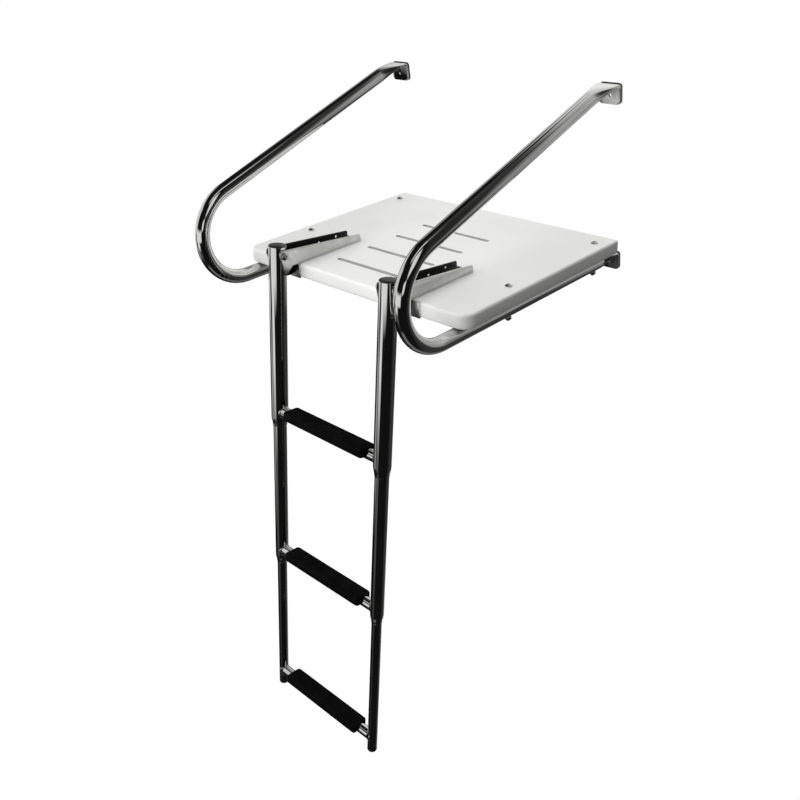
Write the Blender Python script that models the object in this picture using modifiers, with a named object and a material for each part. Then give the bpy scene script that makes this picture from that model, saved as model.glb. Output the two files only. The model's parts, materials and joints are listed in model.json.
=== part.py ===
"""Swim platform with two handrails and a folding three-step telescoping boarding ladder.

Units are metres, +Z is up, +X is to the right of someone facing the boat and +Y points at the boat.
The origin lies on the transom, midway between the pads of the two lower tabs.
"""

import math

import bmesh
import bpy
from mathutils import Matrix, Vector

# General fits
GAP = 0.0003
RUNNING_GAP = 0.0005
ROUND_SIDES = 24
SMALL_SIDES = 14
BOLT_SIDES = 12
ARC_STEPS = 5
EDGE_STEPS = 3
EDGE_ANGLE = math.radians(60)
SMOOTH_ANGLE = math.radians(35)
WELD = 1e-6

# Platform board
BOARD_WIDTH = 0.530
BOARD_DEPTH = 0.425
BOARD_THICK = 0.026
BOARD_CORNER = 0.024
BOARD_BACK_CORNER = 0.007
BOARD_EDGE = 0.003
BOARD_SETBACK = 0.017
GROOVE_COUNT = 4
GROOVE_LENGTH = 0.161
GROOVE_FIRST = 0.060
GROOVE_PITCH = 0.0745
GROOVE_RADIUS = 0.0030
GROOVE_DEPTH = 0.0018

# Handrails
HANDRAIL_RADIUS = 0.0127
HANDRAIL_WALL = 0.0015
HANDRAIL_INSET = 0.0262
HANDRAIL_REACH = 0.1094
HANDRAIL_BEND = 0.0829
HANDRAIL_RISE = math.radians(18.2)
BEND_STEPS = 16

# Transom tabs at the handrails' flattened ends, and the pads behind them
TRANSOM_RAKE = math.radians(6.2)
TAB_WIDTH = 0.042
TAB_HEIGHT = 0.034
TAB_THICK = 0.0035
TAB_CORNER = 0.006
TAB_TUBE_RISE = 0.005
TAB_DROP = 0.021
TAB_HOLE_DROP = 0.0035
TAB_HOLE_RADIUS = 0.0034
PAD_THICK = 0.0032
FLAT_LENGTHS = {"lower": 0.045, "upper": 0.090}
FLAT_STEPS = 5
FLAT_HALF_WIDTH = 0.0185
FLAT_HALF_HEIGHT = 0.0055
FLAT_TOP_MARGIN = 0.0012
FLAT_POWER = 0.7

# Platform bolts, through the board and the handrail under it
BOLT_CROWN_SHARE = 0.62
BOLT_RIM_SHARE = 0.45
PLATFORM_BOLT_RADIUS = 0.0030
PLATFORM_BOLT_HEAD = 0.0062
PLATFORM_BOLT_HEAD_HEIGHT = 0.0030
PLATFORM_BOLT_FRONT = 0.136
PLATFORM_BOLT_BACK = 0.041
PLATFORM_NUT_RADIUS = 0.0058
PLATFORM_NUT_HEIGHT = 0.0060
THREAD_END = 0.0020

# Hinge brackets
RAIL_SPACING = 0.270
SHEET = 0.0025
CHEEK_BACK = 0.150
CHEEK_BACK_HEIGHT = 0.0125
CHEEK_FRONT_HEIGHT = 0.034
CHEEK_NOSE = 0.0105
CHEEK_TIP_DROP = 0.014
CHEEK_ROOT = 0.0150
CHEEK_BACK_ROUND = 0.004
CHEEK_NOSE_ROUND = 0.006
CHEEK_TIP_ROUND = 0.002
CHEEK_ROOT_ROUND = 0.006
CHEEK_SINK = 0.001
LIP_LAP = 0.00175
BASE_MARGIN = 0.0005
LIP_EAR = 0.0170
BRACKET_BOLT_RADIUS = 0.0025
BRACKET_BOLT_HEAD = 0.0050
BRACKET_BOLT_HEAD_HEIGHT = 0.0020
BRACKET_BOLT_DEPTHS = {"front": 0.040, "back": 0.115}
BRACKET_NUT_RADIUS = 0.0048
BRACKET_NUT_HEIGHT = 0.0045
CHEEK_HOLE_RADIUS = 0.0022
CHEEK_HOLE_FIRST = 0.079
CHEEK_HOLE_PITCH = 0.042
CHEEK_HOLE_EDGE = 0.0060
BUMPER_RADIUS = 0.0080
BUMPER_DROP = 0.0130

# Ladder pivot
PIVOT_REACH = 0.031
PIVOT_HEIGHT = 0.0226
LADDER_LEAN = math.radians(7.5)
PIVOT_RADIUS = 0.0040
PIVOT_HEAD_RADIUS = 0.0066
PIVOT_HEAD_HEIGHT = 0.0045
PIVOT_NUT_HEIGHT = 0.0060

# Ladder stages, upper to lower
RAIL_RADII = (0.01588, 0.0127, 0.00953)
RAIL_WALL = 0.0015
RAIL_ABOVE_PIVOT = 0.0150
FIRST_STEP = 0.297
STEP_PITCH = 0.305
RAIL_BELOW_STEP = 0.029
SWAGE_LENGTH = 0.009
SWAGE_DRAW = 0.0015
GLIDE_LENGTH = 0.046
GLIDE_TOP = 0.002
CAP_HEIGHT = 0.003
CAP_SPIGOT = 0.006
PLUG_HEIGHT = 0.0060
PLUG_ROUND = 0.0035
PLUG_SPIGOT = 0.012

# Steps and treads
STEP_TUBE_RADIUS = 0.0105
STEP_TUBE_WALL = 0.0015
TREAD_LENGTH = 0.206
TREAD_DEPTH = 0.036
TREAD_FORWARD = 0.0025
TREAD_TOP = 0.0035
TREAD_SKIRT = 0.0040
TREAD_EDGE = 0.003
TREAD_CORNER = 0.006

# Places worked out from the sizes above
SIDES = (("left", -1), ("right", 1))
STAGES = ("upper", "middle", "lower")
LOWER_TUBE_Z = TAB_TUBE_RISE
BOARD_BOTTOM = LOWER_TUBE_Z + HANDRAIL_RADIUS + GAP
BOARD_TOP = BOARD_BOTTOM + BOARD_THICK
BOARD_BACK = -BOARD_SETBACK
BOARD_FRONT = BOARD_BACK - BOARD_DEPTH
HANDRAIL_X = BOARD_WIDTH / 2 - HANDRAIL_INSET
HANDRAIL_BORE = HANDRAIL_RADIUS - HANDRAIL_WALL
PLATFORM_BOLT_DEPTHS = {"front": PLATFORM_BOLT_FRONT, "back": BOARD_DEPTH - PLATFORM_BOLT_BACK}
RAIL_X = RAIL_SPACING / 2
PIVOT = Vector((0, BOARD_FRONT - PIVOT_REACH, BOARD_TOP + PIVOT_HEIGHT))
CHANNEL_HALF = RAIL_RADII[0] + RUNNING_GAP
CHEEK_OUTER = CHANNEL_HALF + SHEET
BRACKET_FLOOR = BOARD_TOP + GAP
BRACKET_LIP = BOARD_FRONT - GAP
STEP_DROPS = tuple(FIRST_STEP + STEP_PITCH * i for i in range(3))
RAIL_ENDS = tuple(drop + RAIL_BELOW_STEP for drop in STEP_DROPS)
YZ_PLANE = Matrix(((0, 0, 1), (1, 0, 0), (0, 1, 0))).to_4x4()
ALONG_X = Matrix.Rotation(math.pi / 2, 4, "Y")
ALONG_Y = Matrix.Rotation(math.pi / 2, 4, "X")


def clear_scene():
    for obj in list(bpy.data.objects):
        bpy.data.objects.remove(obj, do_unlink=True)


def new_collection(name, hidden=False):
    collection = bpy.data.collections.new(name)
    collection.hide_render = hidden
    bpy.context.scene.collection.children.link(collection)
    return collection


def new_material(name, colour, roughness, metallic):
    material = bpy.data.materials.new(name)
    material.use_nodes = True
    shader = material.node_tree.nodes["Principled BSDF"]
    shader.inputs["Base Color"].default_value = (*colour, 1)
    shader.inputs["Roughness"].default_value = roughness
    shader.inputs["Metallic"].default_value = metallic
    return material


clear_scene()
PARTS = new_collection("boat_boarding_ladder")
CUTTERS = new_collection("cutters", hidden=True)
GELCOAT = ("gelcoat", (0.84, 0.84, 0.83), 0.35, 0.0)
STAINLESS = ("stainless", (0.62, 0.62, 0.60), 0.12, 1.0)
SHEET_STEEL = ("sheet_steel", (0.58, 0.58, 0.55), 0.35, 1.0)
BLACK_PLASTIC = ("black_plastic", (0.02, 0.02, 0.02), 0.45, 0.0)
BLACK_RUBBER = ("black_rubber", (0.025, 0.025, 0.025), 0.7, 0.0)
NYLON = ("nylon", (0.75, 0.74, 0.70), 0.5, 0.0)


def add_part(name, mesh, finish, parent=None):
    """One named piece with a material of its own."""
    obj = bpy.data.objects.new(name, mesh)
    PARTS.objects.link(obj)
    slot, colour, roughness, metallic = finish
    mesh.materials.append(new_material(f"{name}_{slot}", colour, roughness, metallic))
    mesh.shade_smooth()
    mesh.set_sharp_from_angle(angle=SMOOTH_ANGLE)
    obj.parent = parent
    return obj


def add_cutter(name, mesh, parent=None):
    obj = bpy.data.objects.new(name, mesh)
    CUTTERS.objects.link(obj)
    obj.hide_render = True
    obj.display_type = "WIRE"
    obj.parent = parent
    return obj


def add_empty(name, location, rotation=(0, 0, 0), parent=None):
    empty = bpy.data.objects.new(name, None)
    PARTS.objects.link(empty)
    empty.location = location
    empty.rotation_euler = rotation
    empty.parent = parent
    return empty


def combine(obj, other, operation):
    modifier = obj.modifiers.new(f"{operation.lower()}_{other.name}", "BOOLEAN")
    modifier.operation = operation
    modifier.solver = "EXACT"
    modifier.object = other
    return obj


def cut(obj, name, mesh, parent=None):
    return combine(obj, add_cutter(name, mesh, parent), "DIFFERENCE")


def join(obj, name, mesh, parent=None):
    return combine(obj, add_cutter(name, mesh, parent), "UNION")


def mesh_of(name, work):
    mesh = bpy.data.meshes.new(name)
    work.to_mesh(mesh)
    work.free()
    return mesh


def cylinders_mesh(name, radius, length, centres, turn=None, sides=SMALL_SIDES):
    """Closed cylinders along Z, or along the axis that turn gives, about their centres."""
    work = bmesh.new()
    for centre in centres:
        bmesh.ops.create_cone(
            work,
            cap_ends=True,
            segments=sides,
            radius1=radius,
            radius2=radius,
            depth=length,
            matrix=Matrix.Translation(centre) @ (turn or Matrix()),
        )
    return mesh_of(name, work)


def cylinder_mesh(name, radius, length, centre, turn=None, sides=SMALL_SIDES):
    return cylinders_mesh(name, radius, length, [centre], turn, sides)


def box_mesh(name, low, high):
    work = bmesh.new()
    low, high = Vector(low), Vector(high)
    matrix = Matrix.Translation((low + high) / 2) @ Matrix.Diagonal((*(high - low), 1))
    bmesh.ops.create_cube(work, size=1, matrix=matrix)
    return mesh_of(name, work)


def rounded(corners):
    """The outline through corners (x, y, radius), each corner an arc of its radius."""
    points = []
    for i, (x, y, radius) in enumerate(corners):
        corner = Vector((x, y))
        before = (Vector(corners[i - 1][:2]) - corner).normalized()
        after = (Vector(corners[(i + 1) % len(corners)][:2]) - corner).normalized()
        if radius == 0:
            points.append(corner)
            continue
        half = before.angle(after) / 2
        centre = corner + (before + after).normalized() * radius / math.sin(half)
        start = corner + before * radius / math.tan(half) - centre
        sweep = start.angle_signed(corner + after * radius / math.tan(half) - centre)
        for step in range(ARC_STEPS + 1):
            points.append(centre + Matrix.Rotation(-sweep * step / ARC_STEPS, 2) @ start)
    return points


def curve_mesh(name, curve):
    """The closed mesh of a curve, its caps welded to its sides."""
    obj = bpy.data.objects.new(name, curve)
    bpy.context.scene.collection.objects.link(obj)
    graph = bpy.context.evaluated_depsgraph_get()
    mesh = bpy.data.meshes.new_from_object(obj.evaluated_get(graph))
    bpy.data.objects.remove(obj)
    bpy.data.curves.remove(curve)
    work = bmesh.new()
    work.from_mesh(mesh)
    bmesh.ops.remove_doubles(work, verts=work.verts, dist=WELD)
    bmesh.ops.dissolve_limit(work, angle_limit=1e-3, verts=work.verts, edges=work.edges)
    bmesh.ops.recalc_face_normals(work, faces=work.faces)
    work.to_mesh(mesh)
    work.free()
    return mesh


def slab_mesh(name, outline, thickness, matrix):
    """An outline in the XY plane, thickened about that plane and then placed by matrix."""
    curve = bpy.data.curves.new(name, "CURVE")
    curve.dimensions = "2D"
    curve.fill_mode = "BOTH"
    curve.extrude = thickness / 2
    spline = curve.splines.new("POLY")
    spline.points.add(len(outline) - 1)
    for point, place in zip(spline.points, outline):
        point.co = (*place, 0, 1)
    spline.use_cyclic_u = True
    mesh = curve_mesh(name, curve)
    mesh.transform(matrix)
    return mesh


def swept_mesh(name, rings):
    """A closed bar through rings of equal count, capped at both ends."""
    work = bmesh.new()
    loops = [[work.verts.new(point) for point in ring] for ring in rings]
    for loop, further in zip(loops, loops[1:]):
        for i, vert in enumerate(loop):
            work.faces.new((loop[i - 1], vert, further[i], further[i - 1]))
    work.faces.new(loops[0])
    work.faces.new(loops[-1])
    bmesh.ops.recalc_face_normals(work, faces=work.faces)
    return mesh_of(name, work)


def turned(name, profile, finish, location, parent=None, hollow=False, sides=ROUND_SIDES):
    """A piece turned about Z: profile points (radius, z) run down its outer side."""
    work = bmesh.new()
    verts = [work.verts.new((radius, 0, z)) for radius, z in profile]
    for first, second in zip(verts, verts[1:]):
        work.edges.new((first, second))
    if hollow:
        work.edges.new((verts[-1], verts[0]))
    obj = add_part(name, mesh_of(name, work), finish, parent)
    screw = obj.modifiers.new("turn", "SCREW")
    screw.steps = sides
    screw.render_steps = sides
    screw.use_merge_vertices = True
    screw.merge_threshold = WELD
    screw.use_smooth_shade = True
    obj.location = location
    return obj


def bolt(name, finish, shank, head, head_height, length, location, turn):
    """A domed bolt whose head sits on +Z of its seat and whose shank runs down from it."""
    crown, rim = head * BOLT_CROWN_SHARE, head_height * BOLT_RIM_SHARE
    profile = [(0, head_height), (crown, head_height), (head, rim)]
    profile += [(head, 0), (shank, 0), (shank, -length), (0, -length)]
    obj = turned(name, profile, finish, location, sides=BOLT_SIDES)
    obj.rotation_euler = turn
    return obj


def nut(name, finish, radius, height, bore, location, turn):
    """A hexagon nut with its bore, about its own centre."""
    obj = add_part(name, cylinder_mesh(name, radius, height, (0, 0, 0), sides=6), finish)
    obj.location = location
    obj.rotation_euler = turn
    hole = cylinder_mesh(f"{name}_bore", bore, height * 2, (0, 0, 0), sides=BOLT_SIDES)
    cutter = add_cutter(f"{name}_bore", hole)
    cutter.location = location
    cutter.rotation_euler = turn
    return combine(obj, cutter, "DIFFERENCE")


def mix(first, second, share):
    return first + (second - first) * share


def tube_ring(centre, outward, radius, flat=0.0):
    """A ring of a handrail about centre: round, or flattened by a share up to 1."""
    wide = mix(radius, FLAT_HALF_WIDTH, flat)
    tall = mix(radius, FLAT_HALF_HEIGHT, flat)
    power = mix(1, FLAT_POWER, flat)
    ring = []
    for step in range(ROUND_SIDES):
        angle = 2 * math.pi * step / ROUND_SIDES
        across = math.copysign(abs(math.cos(angle)) ** power, math.cos(angle))
        along = math.copysign(abs(math.sin(angle)) ** power, math.sin(angle))
        ring.append(centre + Vector((wide * across, 0, 0)) + outward * tall * along)
    return ring


def round_rings(x, radius):
    """The round part of a handrail, from near its lower tab to near its upper one."""
    centre = bend_centre(x)
    first = Vector((x, -FLAT_LENGTHS["lower"], LOWER_TUBE_Z))
    rings = [tube_ring(first, Vector((0, 0, -1)), radius)]
    for step in range(BEND_STEPS + 1):
        angle = -math.pi / 2 - (math.pi - HANDRAIL_RISE) * step / BEND_STEPS
        outward = Vector((0, math.cos(angle), math.sin(angle)))
        rings.append(tube_ring(centre + outward * HANDRAIL_BEND, outward, radius))
    last = upper_seat(x) - upper_run() * FLAT_LENGTHS["upper"]
    rings.append(tube_ring(last, upper_outward(), radius))
    return rings


def flat_rings(start, run, outward, goal, flat_outward):
    """The end of a handrail, from its round part on to a flat oval inside a tab."""
    along = run * (goal - start).dot(run)
    aside = goal - start - along
    rings = []
    for step in range(1, FLAT_STEPS + 1):
        share = step / FLAT_STEPS
        ease = share * share * (3 - 2 * share)
        centre = start + along * share + aside * share**2
        turned_out = outward.lerp(flat_outward, ease).normalized()
        rings.append(tube_ring(centre, turned_out, HANDRAIL_RADIUS, ease))
    return rings


def bend_centre(x):
    return Vector((x, BOARD_FRONT - HANDRAIL_REACH + HANDRAIL_BEND, LOWER_TUBE_Z + HANDRAIL_BEND))


def upper_run():
    return Vector((0, math.cos(HANDRAIL_RISE), math.sin(HANDRAIL_RISE)))


def upper_outward():
    return Vector((0, -math.sin(HANDRAIL_RISE), math.cos(HANDRAIL_RISE)))


def up_transom():
    return Vector((0, -math.sin(TRANSOM_RAKE), math.cos(TRANSOM_RAKE)))


def out_transom():
    return Vector((0, math.cos(TRANSOM_RAKE), math.sin(TRANSOM_RAKE)))


def upper_seat(x):
    """Where the line of the upper run would meet the transom."""
    start = bend_centre(x) + upper_outward() * HANDRAIL_BEND
    return start - upper_run() * (start.dot(out_transom()) / upper_run().dot(out_transom()))


def upper_tab_rise():
    return upper_seat(0).dot(up_transom()) - TAB_DROP


def build_board():
    half = BOARD_WIDTH / 2
    corners = [
        (-half, BOARD_FRONT, BOARD_CORNER),
        (half, BOARD_FRONT, BOARD_CORNER),
        (half, BOARD_BACK, BOARD_BACK_CORNER),
        (-half, BOARD_BACK, BOARD_BACK_CORNER),
    ]
    middle = Matrix.Translation((0, 0, BOARD_BOTTOM + BOARD_THICK / 2))
    mesh = slab_mesh("platform_board", rounded(corners), BOARD_THICK, middle)
    board = add_part("platform_board", mesh, GELCOAT)
    edge = board.modifiers.new("soft_edges", "BEVEL")
    edge.width = BOARD_EDGE
    edge.segments = EDGE_STEPS
    edge.limit_method = "ANGLE"
    edge.angle_limit = EDGE_ANGLE
    first = BOARD_FRONT + GROOVE_FIRST
    high = BOARD_TOP + GROOVE_RADIUS - GROOVE_DEPTH
    places = [(0, first + GROOVE_PITCH * i, high) for i in range(GROOVE_COUNT)]
    cut(board, "grooves", cylinders_mesh("grooves", GROOVE_RADIUS, GROOVE_LENGTH, places, ALONG_X))
    drill(board, "platform_bolt_holes", PLATFORM_BOLT_RADIUS, HANDRAIL_X, PLATFORM_BOLT_DEPTHS.values())
    drill(board, "bracket_bolt_holes", BRACKET_BOLT_RADIUS, RAIL_X, BRACKET_BOLT_DEPTHS.values())


def drill(obj, name, bolt_radius, x, depths, signs=(-1, 1)):
    """Clearance holes down through a piece at x, each so far behind the board's front edge."""
    middle = BOARD_BOTTOM
    places = [(sign * x, BOARD_FRONT + depth, middle) for sign in signs for depth in depths]
    length = 4 * (BOARD_THICK + HANDRAIL_RADIUS)
    holes = cylinders_mesh(name, bolt_radius + GAP, length, places, sides=BOLT_SIDES)
    cut(obj, f"{obj.name}_{name}", holes)


def build_handrail(side, sign, transom):
    """A tube whose flattened ends turn down into tabs, and a pad behind each tab."""
    x = sign * HANDRAIL_X
    name = f"{side}_handrail"
    inside = -PAD_THICK - GAP - TAB_THICK / 2
    flat_rise = TAB_HEIGHT / 2 - FLAT_TOP_MARGIN - FLAT_HALF_HEIGHT
    rises = {"lower": 0, "upper": upper_tab_rise()}
    goals = {}
    for end, rise in rises.items():
        goals[end] = Vector((x, 0, 0)) + up_transom() * (rise + flat_rise) + out_transom() * inside
    first = Vector((x, -FLAT_LENGTHS["lower"], LOWER_TUBE_Z))
    last = upper_seat(x) - upper_run() * FLAT_LENGTHS["upper"]
    lower = flat_rings(first, Vector((0, 1, 0)), Vector((0, 0, -1)), goals["lower"], -up_transom())
    upper = flat_rings(last, upper_run(), upper_outward(), goals["upper"], up_transom())
    rings = lower[::-1] + round_rings(x, HANDRAIL_RADIUS) + upper
    rail = add_part(name, swept_mesh(name, rings), STAINLESS)
    for end, rise in rises.items():
        join(rail, f"{name}_{end}_tab", tab_mesh("tab", x, rise, inside, TAB_THICK), transom)
        pad_name = f"{side}_{end}_foot_pad"
        pad_mesh = tab_mesh(pad_name, x, rise, -PAD_THICK / 2, PAD_THICK)
        pad = add_part(pad_name, pad_mesh, BLACK_PLASTIC, transom)
        for obj in (rail, pad):
            place = (x, 0, rise - TAB_HOLE_DROP)
            hole = cylinder_mesh("hole", TAB_HOLE_RADIUS, 4 * (TAB_THICK + PAD_THICK), place, ALONG_Y)
            cut(obj, f"{obj.name}_{end}_hole", hole, transom)
    cut(rail, f"{name}_bore", swept_mesh("bore", round_rings(x, HANDRAIL_BORE)))
    drill(rail, "bolt_holes", PLATFORM_BOLT_RADIUS, HANDRAIL_X, PLATFORM_BOLT_DEPTHS.values(), [sign])
    for end, depth in PLATFORM_BOLT_DEPTHS.items():
        build_platform_bolt(f"{side}_{end}", x, BOARD_FRONT + depth)


def tab_mesh(name, x, rise, middle, thickness):
    """A plate along the transom, so far up it, its middle so far out of it."""
    half, tall = TAB_WIDTH / 2, TAB_HEIGHT / 2
    corners = [(-half, -tall, TAB_CORNER), (half, -tall, TAB_CORNER)]
    corners += [(half, tall, TAB_CORNER), (-half, tall, TAB_CORNER)]
    return slab_mesh(name, rounded(corners), thickness, Matrix.Translation((x, middle, rise)) @ ALONG_Y)


def build_platform_bolt(name, x, y):
    reach = BOARD_THICK + 2 * HANDRAIL_RADIUS + 3 * GAP + PLATFORM_NUT_HEIGHT + THREAD_END
    bolt(
        f"{name}_platform_bolt",
        STAINLESS,
        PLATFORM_BOLT_RADIUS,
        PLATFORM_BOLT_HEAD,
        PLATFORM_BOLT_HEAD_HEIGHT,
        reach,
        (x, y, BOARD_TOP + GAP),
        (0, 0, 0),
    )
    below = LOWER_TUBE_Z - HANDRAIL_RADIUS - GAP - PLATFORM_NUT_HEIGHT / 2
    place = (x, y, below)
    bore = PLATFORM_BOLT_RADIUS + GAP
    nut(f"{name}_platform_nut", STAINLESS, PLATFORM_NUT_RADIUS, PLATFORM_NUT_HEIGHT, bore, place, (0, 0, 0))


def cheek_outline():
    """A cheek in (y, z): low at the back, a nose round the pivot and a tongue below it."""
    floor = BRACKET_FLOOR + CHEEK_SINK
    front = PIVOT.y - CHEEK_NOSE
    top = BOARD_TOP + CHEEK_FRONT_HEIGHT
    return rounded(
        [
            (BOARD_FRONT + CHEEK_BACK, floor, 0),
            (BOARD_FRONT + CHEEK_BACK, BOARD_TOP + CHEEK_BACK_HEIGHT, CHEEK_BACK_ROUND),
            (front, top, CHEEK_NOSE_ROUND),
            (PIVOT.y - CHEEK_NOSE / 4, BOARD_TOP - CHEEK_TIP_DROP, CHEEK_TIP_ROUND),
            (BOARD_FRONT - CHEEK_ROOT, floor, CHEEK_ROOT_ROUND),
        ]
    )


def build_bracket(side, sign):
    """A channel that straddles one rail, with a lip down the board's front."""
    x = sign * RAIL_X
    name = f"{side}_hinge_bracket"
    wide = CHEEK_OUTER + BASE_MARGIN
    back = BOARD_FRONT + CHEEK_BACK + BASE_MARGIN
    lip_front = BRACKET_LIP - SHEET
    base = box_mesh(
        name,
        (x - wide, lip_front + BASE_MARGIN, BRACKET_FLOOR),
        (x + wide, back, BRACKET_FLOOR + SHEET),
    )
    bracket = add_part(name, base, SHEET_STEEL)
    ends = sorted((x - sign * (wide + BASE_MARGIN), x + sign * (wide + LIP_EAR)))
    lip = box_mesh(
        "lip",
        (ends[0], lip_front, BOARD_BOTTOM),
        (ends[1], BRACKET_LIP, BRACKET_FLOOR + LIP_LAP),
    )
    join(bracket, f"{name}_lip", lip)
    for edge, hand in (("left", -1), ("right", 1)):
        middle = Matrix.Translation((x + hand * (CHANNEL_HALF + SHEET / 2), 0, 0))
        cheek = slab_mesh("cheek", cheek_outline(), SHEET, middle @ YZ_PLANE)
        join(bracket, f"{name}_{edge}_cheek", cheek)
    hole = PIVOT_RADIUS + GAP
    place = (x, PIVOT.y, PIVOT.z)
    cut(bracket, f"{name}_pivot_hole", cylinder_mesh("hole", hole, 4 * CHEEK_OUTER, place, ALONG_X))
    for i in range(2):
        y = BOARD_FRONT + CHEEK_HOLE_FIRST + CHEEK_HOLE_PITCH * i
        place = (x - CHEEK_OUTER, y, BRACKET_FLOOR + SHEET + CHEEK_HOLE_EDGE)
        peep = cylinder_mesh("peep", CHEEK_HOLE_RADIUS, CHEEK_OUTER, place, ALONG_X)
        cut(bracket, f"{name}_cheek_hole_{i + 1}", peep)
    build_pivot(side, sign, x)
    build_bumper(side, x, lip_front)
    drill(bracket, "bolt_holes", BRACKET_BOLT_RADIUS, RAIL_X, BRACKET_BOLT_DEPTHS.values(), [sign])
    for end, depth in BRACKET_BOLT_DEPTHS.items():
        build_bracket_bolt(f"{side}_{end}", x, BOARD_FRONT + depth)


def build_pivot(side, sign, x):
    """The pivot bolt, its head towards the middle of the ladder, and its lock nut."""
    reach = 2 * CHEEK_OUTER + 2 * GAP + PIVOT_NUT_HEIGHT + THREAD_END
    head = x - sign * (CHEEK_OUTER + GAP)
    bolt(
        f"{side}_pivot_bolt",
        STAINLESS,
        PIVOT_RADIUS,
        PIVOT_HEAD_RADIUS,
        PIVOT_HEAD_HEIGHT,
        reach,
        (head, PIVOT.y, PIVOT.z),
        (0, -sign * math.pi / 2, 0),
    )
    place = (x + sign * (CHEEK_OUTER + GAP + PIVOT_NUT_HEIGHT / 2), PIVOT.y, PIVOT.z)
    turn = (0, math.pi / 2, 0)
    bore = PIVOT_RADIUS + GAP
    nut(f"{side}_pivot_nut", STAINLESS, PIVOT_HEAD_RADIUS, PIVOT_NUT_HEIGHT, bore, place, turn)


def build_bumper(side, x, lip_front):
    """The stop between the lip and the leaning rail."""
    z = BOARD_TOP - BUMPER_DROP
    nearest = z + BUMPER_RADIUS
    rail_y = PIVOT.y - (PIVOT.z - nearest) * math.tan(LADDER_LEAN)
    end = rail_y + RAIL_RADII[0] / math.cos(LADDER_LEAN) + GAP
    length = lip_front - GAP - end
    name = f"{side}_stop_bumper"
    place = (x, end + length / 2, z)
    add_part(name, cylinder_mesh(name, BUMPER_RADIUS, length, place, ALONG_Y), BLACK_RUBBER)


def build_bracket_bolt(name, x, y):
    reach = SHEET + BOARD_THICK + 3 * GAP + BRACKET_NUT_HEIGHT + THREAD_END
    bolt(
        f"{name}_bracket_bolt",
        STAINLESS,
        BRACKET_BOLT_RADIUS,
        BRACKET_BOLT_HEAD,
        BRACKET_BOLT_HEAD_HEIGHT,
        reach,
        (x, y, BRACKET_FLOOR + SHEET + GAP),
        (0, 0, 0),
    )
    place = (x, y, BOARD_BOTTOM - GAP - BRACKET_NUT_HEIGHT / 2)
    bore = BRACKET_BOLT_RADIUS + GAP
    nut(f"{name}_bracket_nut", STAINLESS, BRACKET_NUT_RADIUS, BRACKET_NUT_HEIGHT, bore, place, (0, 0, 0))


def rail_profile(stage, top, end):
    """A tube's section, drawn in at its lower end round the next tube where there is one."""
    outer = RAIL_RADII[stage]
    inner = outer - RAIL_WALL
    if stage + 1 == len(RAIL_RADII):
        return [(outer, -top), (outer, -end), (inner, -end), (inner, -top)]
    throat = RAIL_RADII[stage + 1] + GAP
    swage = end - SWAGE_LENGTH
    shoulder = swage + SWAGE_DRAW
    return [
        (outer, -top),
        (outer, -swage),
        (outer - SWAGE_DRAW, -end),
        (throat, -end),
        (throat, -shoulder),
        (inner, -swage),
        (inner, -top),
    ]


def rail_top(stage):
    """How far below the pivot a stage's tubes begin."""
    if stage == 0:
        return -RAIL_ABOVE_PIVOT
    return RAIL_ENDS[stage - 1] - SWAGE_LENGTH - GAP - GLIDE_LENGTH + GLIDE_TOP + GAP


def build_glide(name, stage, x, parent):
    """A nylon cup on a tube's upper end, which slides in the tube round it."""
    bore = RAIL_RADII[stage - 1] - RAIL_WALL
    outer = bore - GAP
    inner = RAIL_RADII[stage] + GAP
    top = rail_top(stage) - GAP - GLIDE_TOP
    end = top + GLIDE_LENGTH
    roof = top + GLIDE_TOP
    profile = [(0, -top), (outer, -top), (outer, -end), (inner, -end), (inner, -roof), (0, -roof)]
    return turned(name, profile, NYLON, (x, 0, 0), parent)


def build_cap(name, x, parent):
    """A plug in the top of an upper rail."""
    outer = RAIL_RADII[0]
    inner = outer - RAIL_WALL - GAP
    seat = RAIL_ABOVE_PIVOT + GAP
    top = seat + CAP_HEIGHT
    foot = seat - CAP_SPIGOT
    crown = outer - CAP_HEIGHT / 2
    profile = [(0, top), (crown, top), (outer, top - CAP_HEIGHT / 2), (outer, seat)]
    profile += [(inner, seat), (inner, foot), (0, foot)]
    return turned(name, profile, BLACK_PLASTIC, (x, 0, 0), parent)


def build_plug(name, x, parent):
    """The rounded plug in the bottom of a lower rail."""
    outer = RAIL_RADII[-1]
    inner = outer - RAIL_WALL - GAP
    seat = RAIL_ENDS[-1] + GAP
    top = seat - PLUG_SPIGOT
    sole = seat + PLUG_HEIGHT
    profile = [(0, -top), (inner, -top), (inner, -seat), (outer, -seat), (outer, PLUG_ROUND - sole)]
    profile += [(outer - PLUG_ROUND / 4, PLUG_ROUND / 3 - sole), (outer - PLUG_ROUND, -sole), (0, -sole)]
    return turned(name, profile, BLACK_PLASTIC, (x, 0, 0), parent)


def build_step(stage, parent):
    """A stage's step: a tube coped to the two rails, and a tread clipped over its top."""
    drop = STEP_DROPS[stage]
    name = f"{STAGES[stage]}_step_tube"
    mesh = cylinder_mesh(name, STEP_TUBE_RADIUS, RAIL_SPACING, (0, 0, -drop), ALONG_X, ROUND_SIDES)
    tube = add_part(name, mesh, STAINLESS, parent)
    bore = STEP_TUBE_RADIUS - STEP_TUBE_WALL
    hollow = cylinder_mesh("bore", bore, 2 * RAIL_SPACING, (0, 0, -drop), ALONG_X)
    cut(tube, f"{name}_bore", hollow, parent)
    for side, sign in SIDES:
        place = (sign * RAIL_X, 0, -drop)
        cope = cylinder_mesh("cope", RAIL_RADII[stage] + GAP, 2 * TREAD_DEPTH, place, sides=ROUND_SIDES)
        cut(tube, f"{name}_{side}_cope", cope, parent)
    build_tread(f"{STAGES[stage]}_tread", drop, parent)


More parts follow.
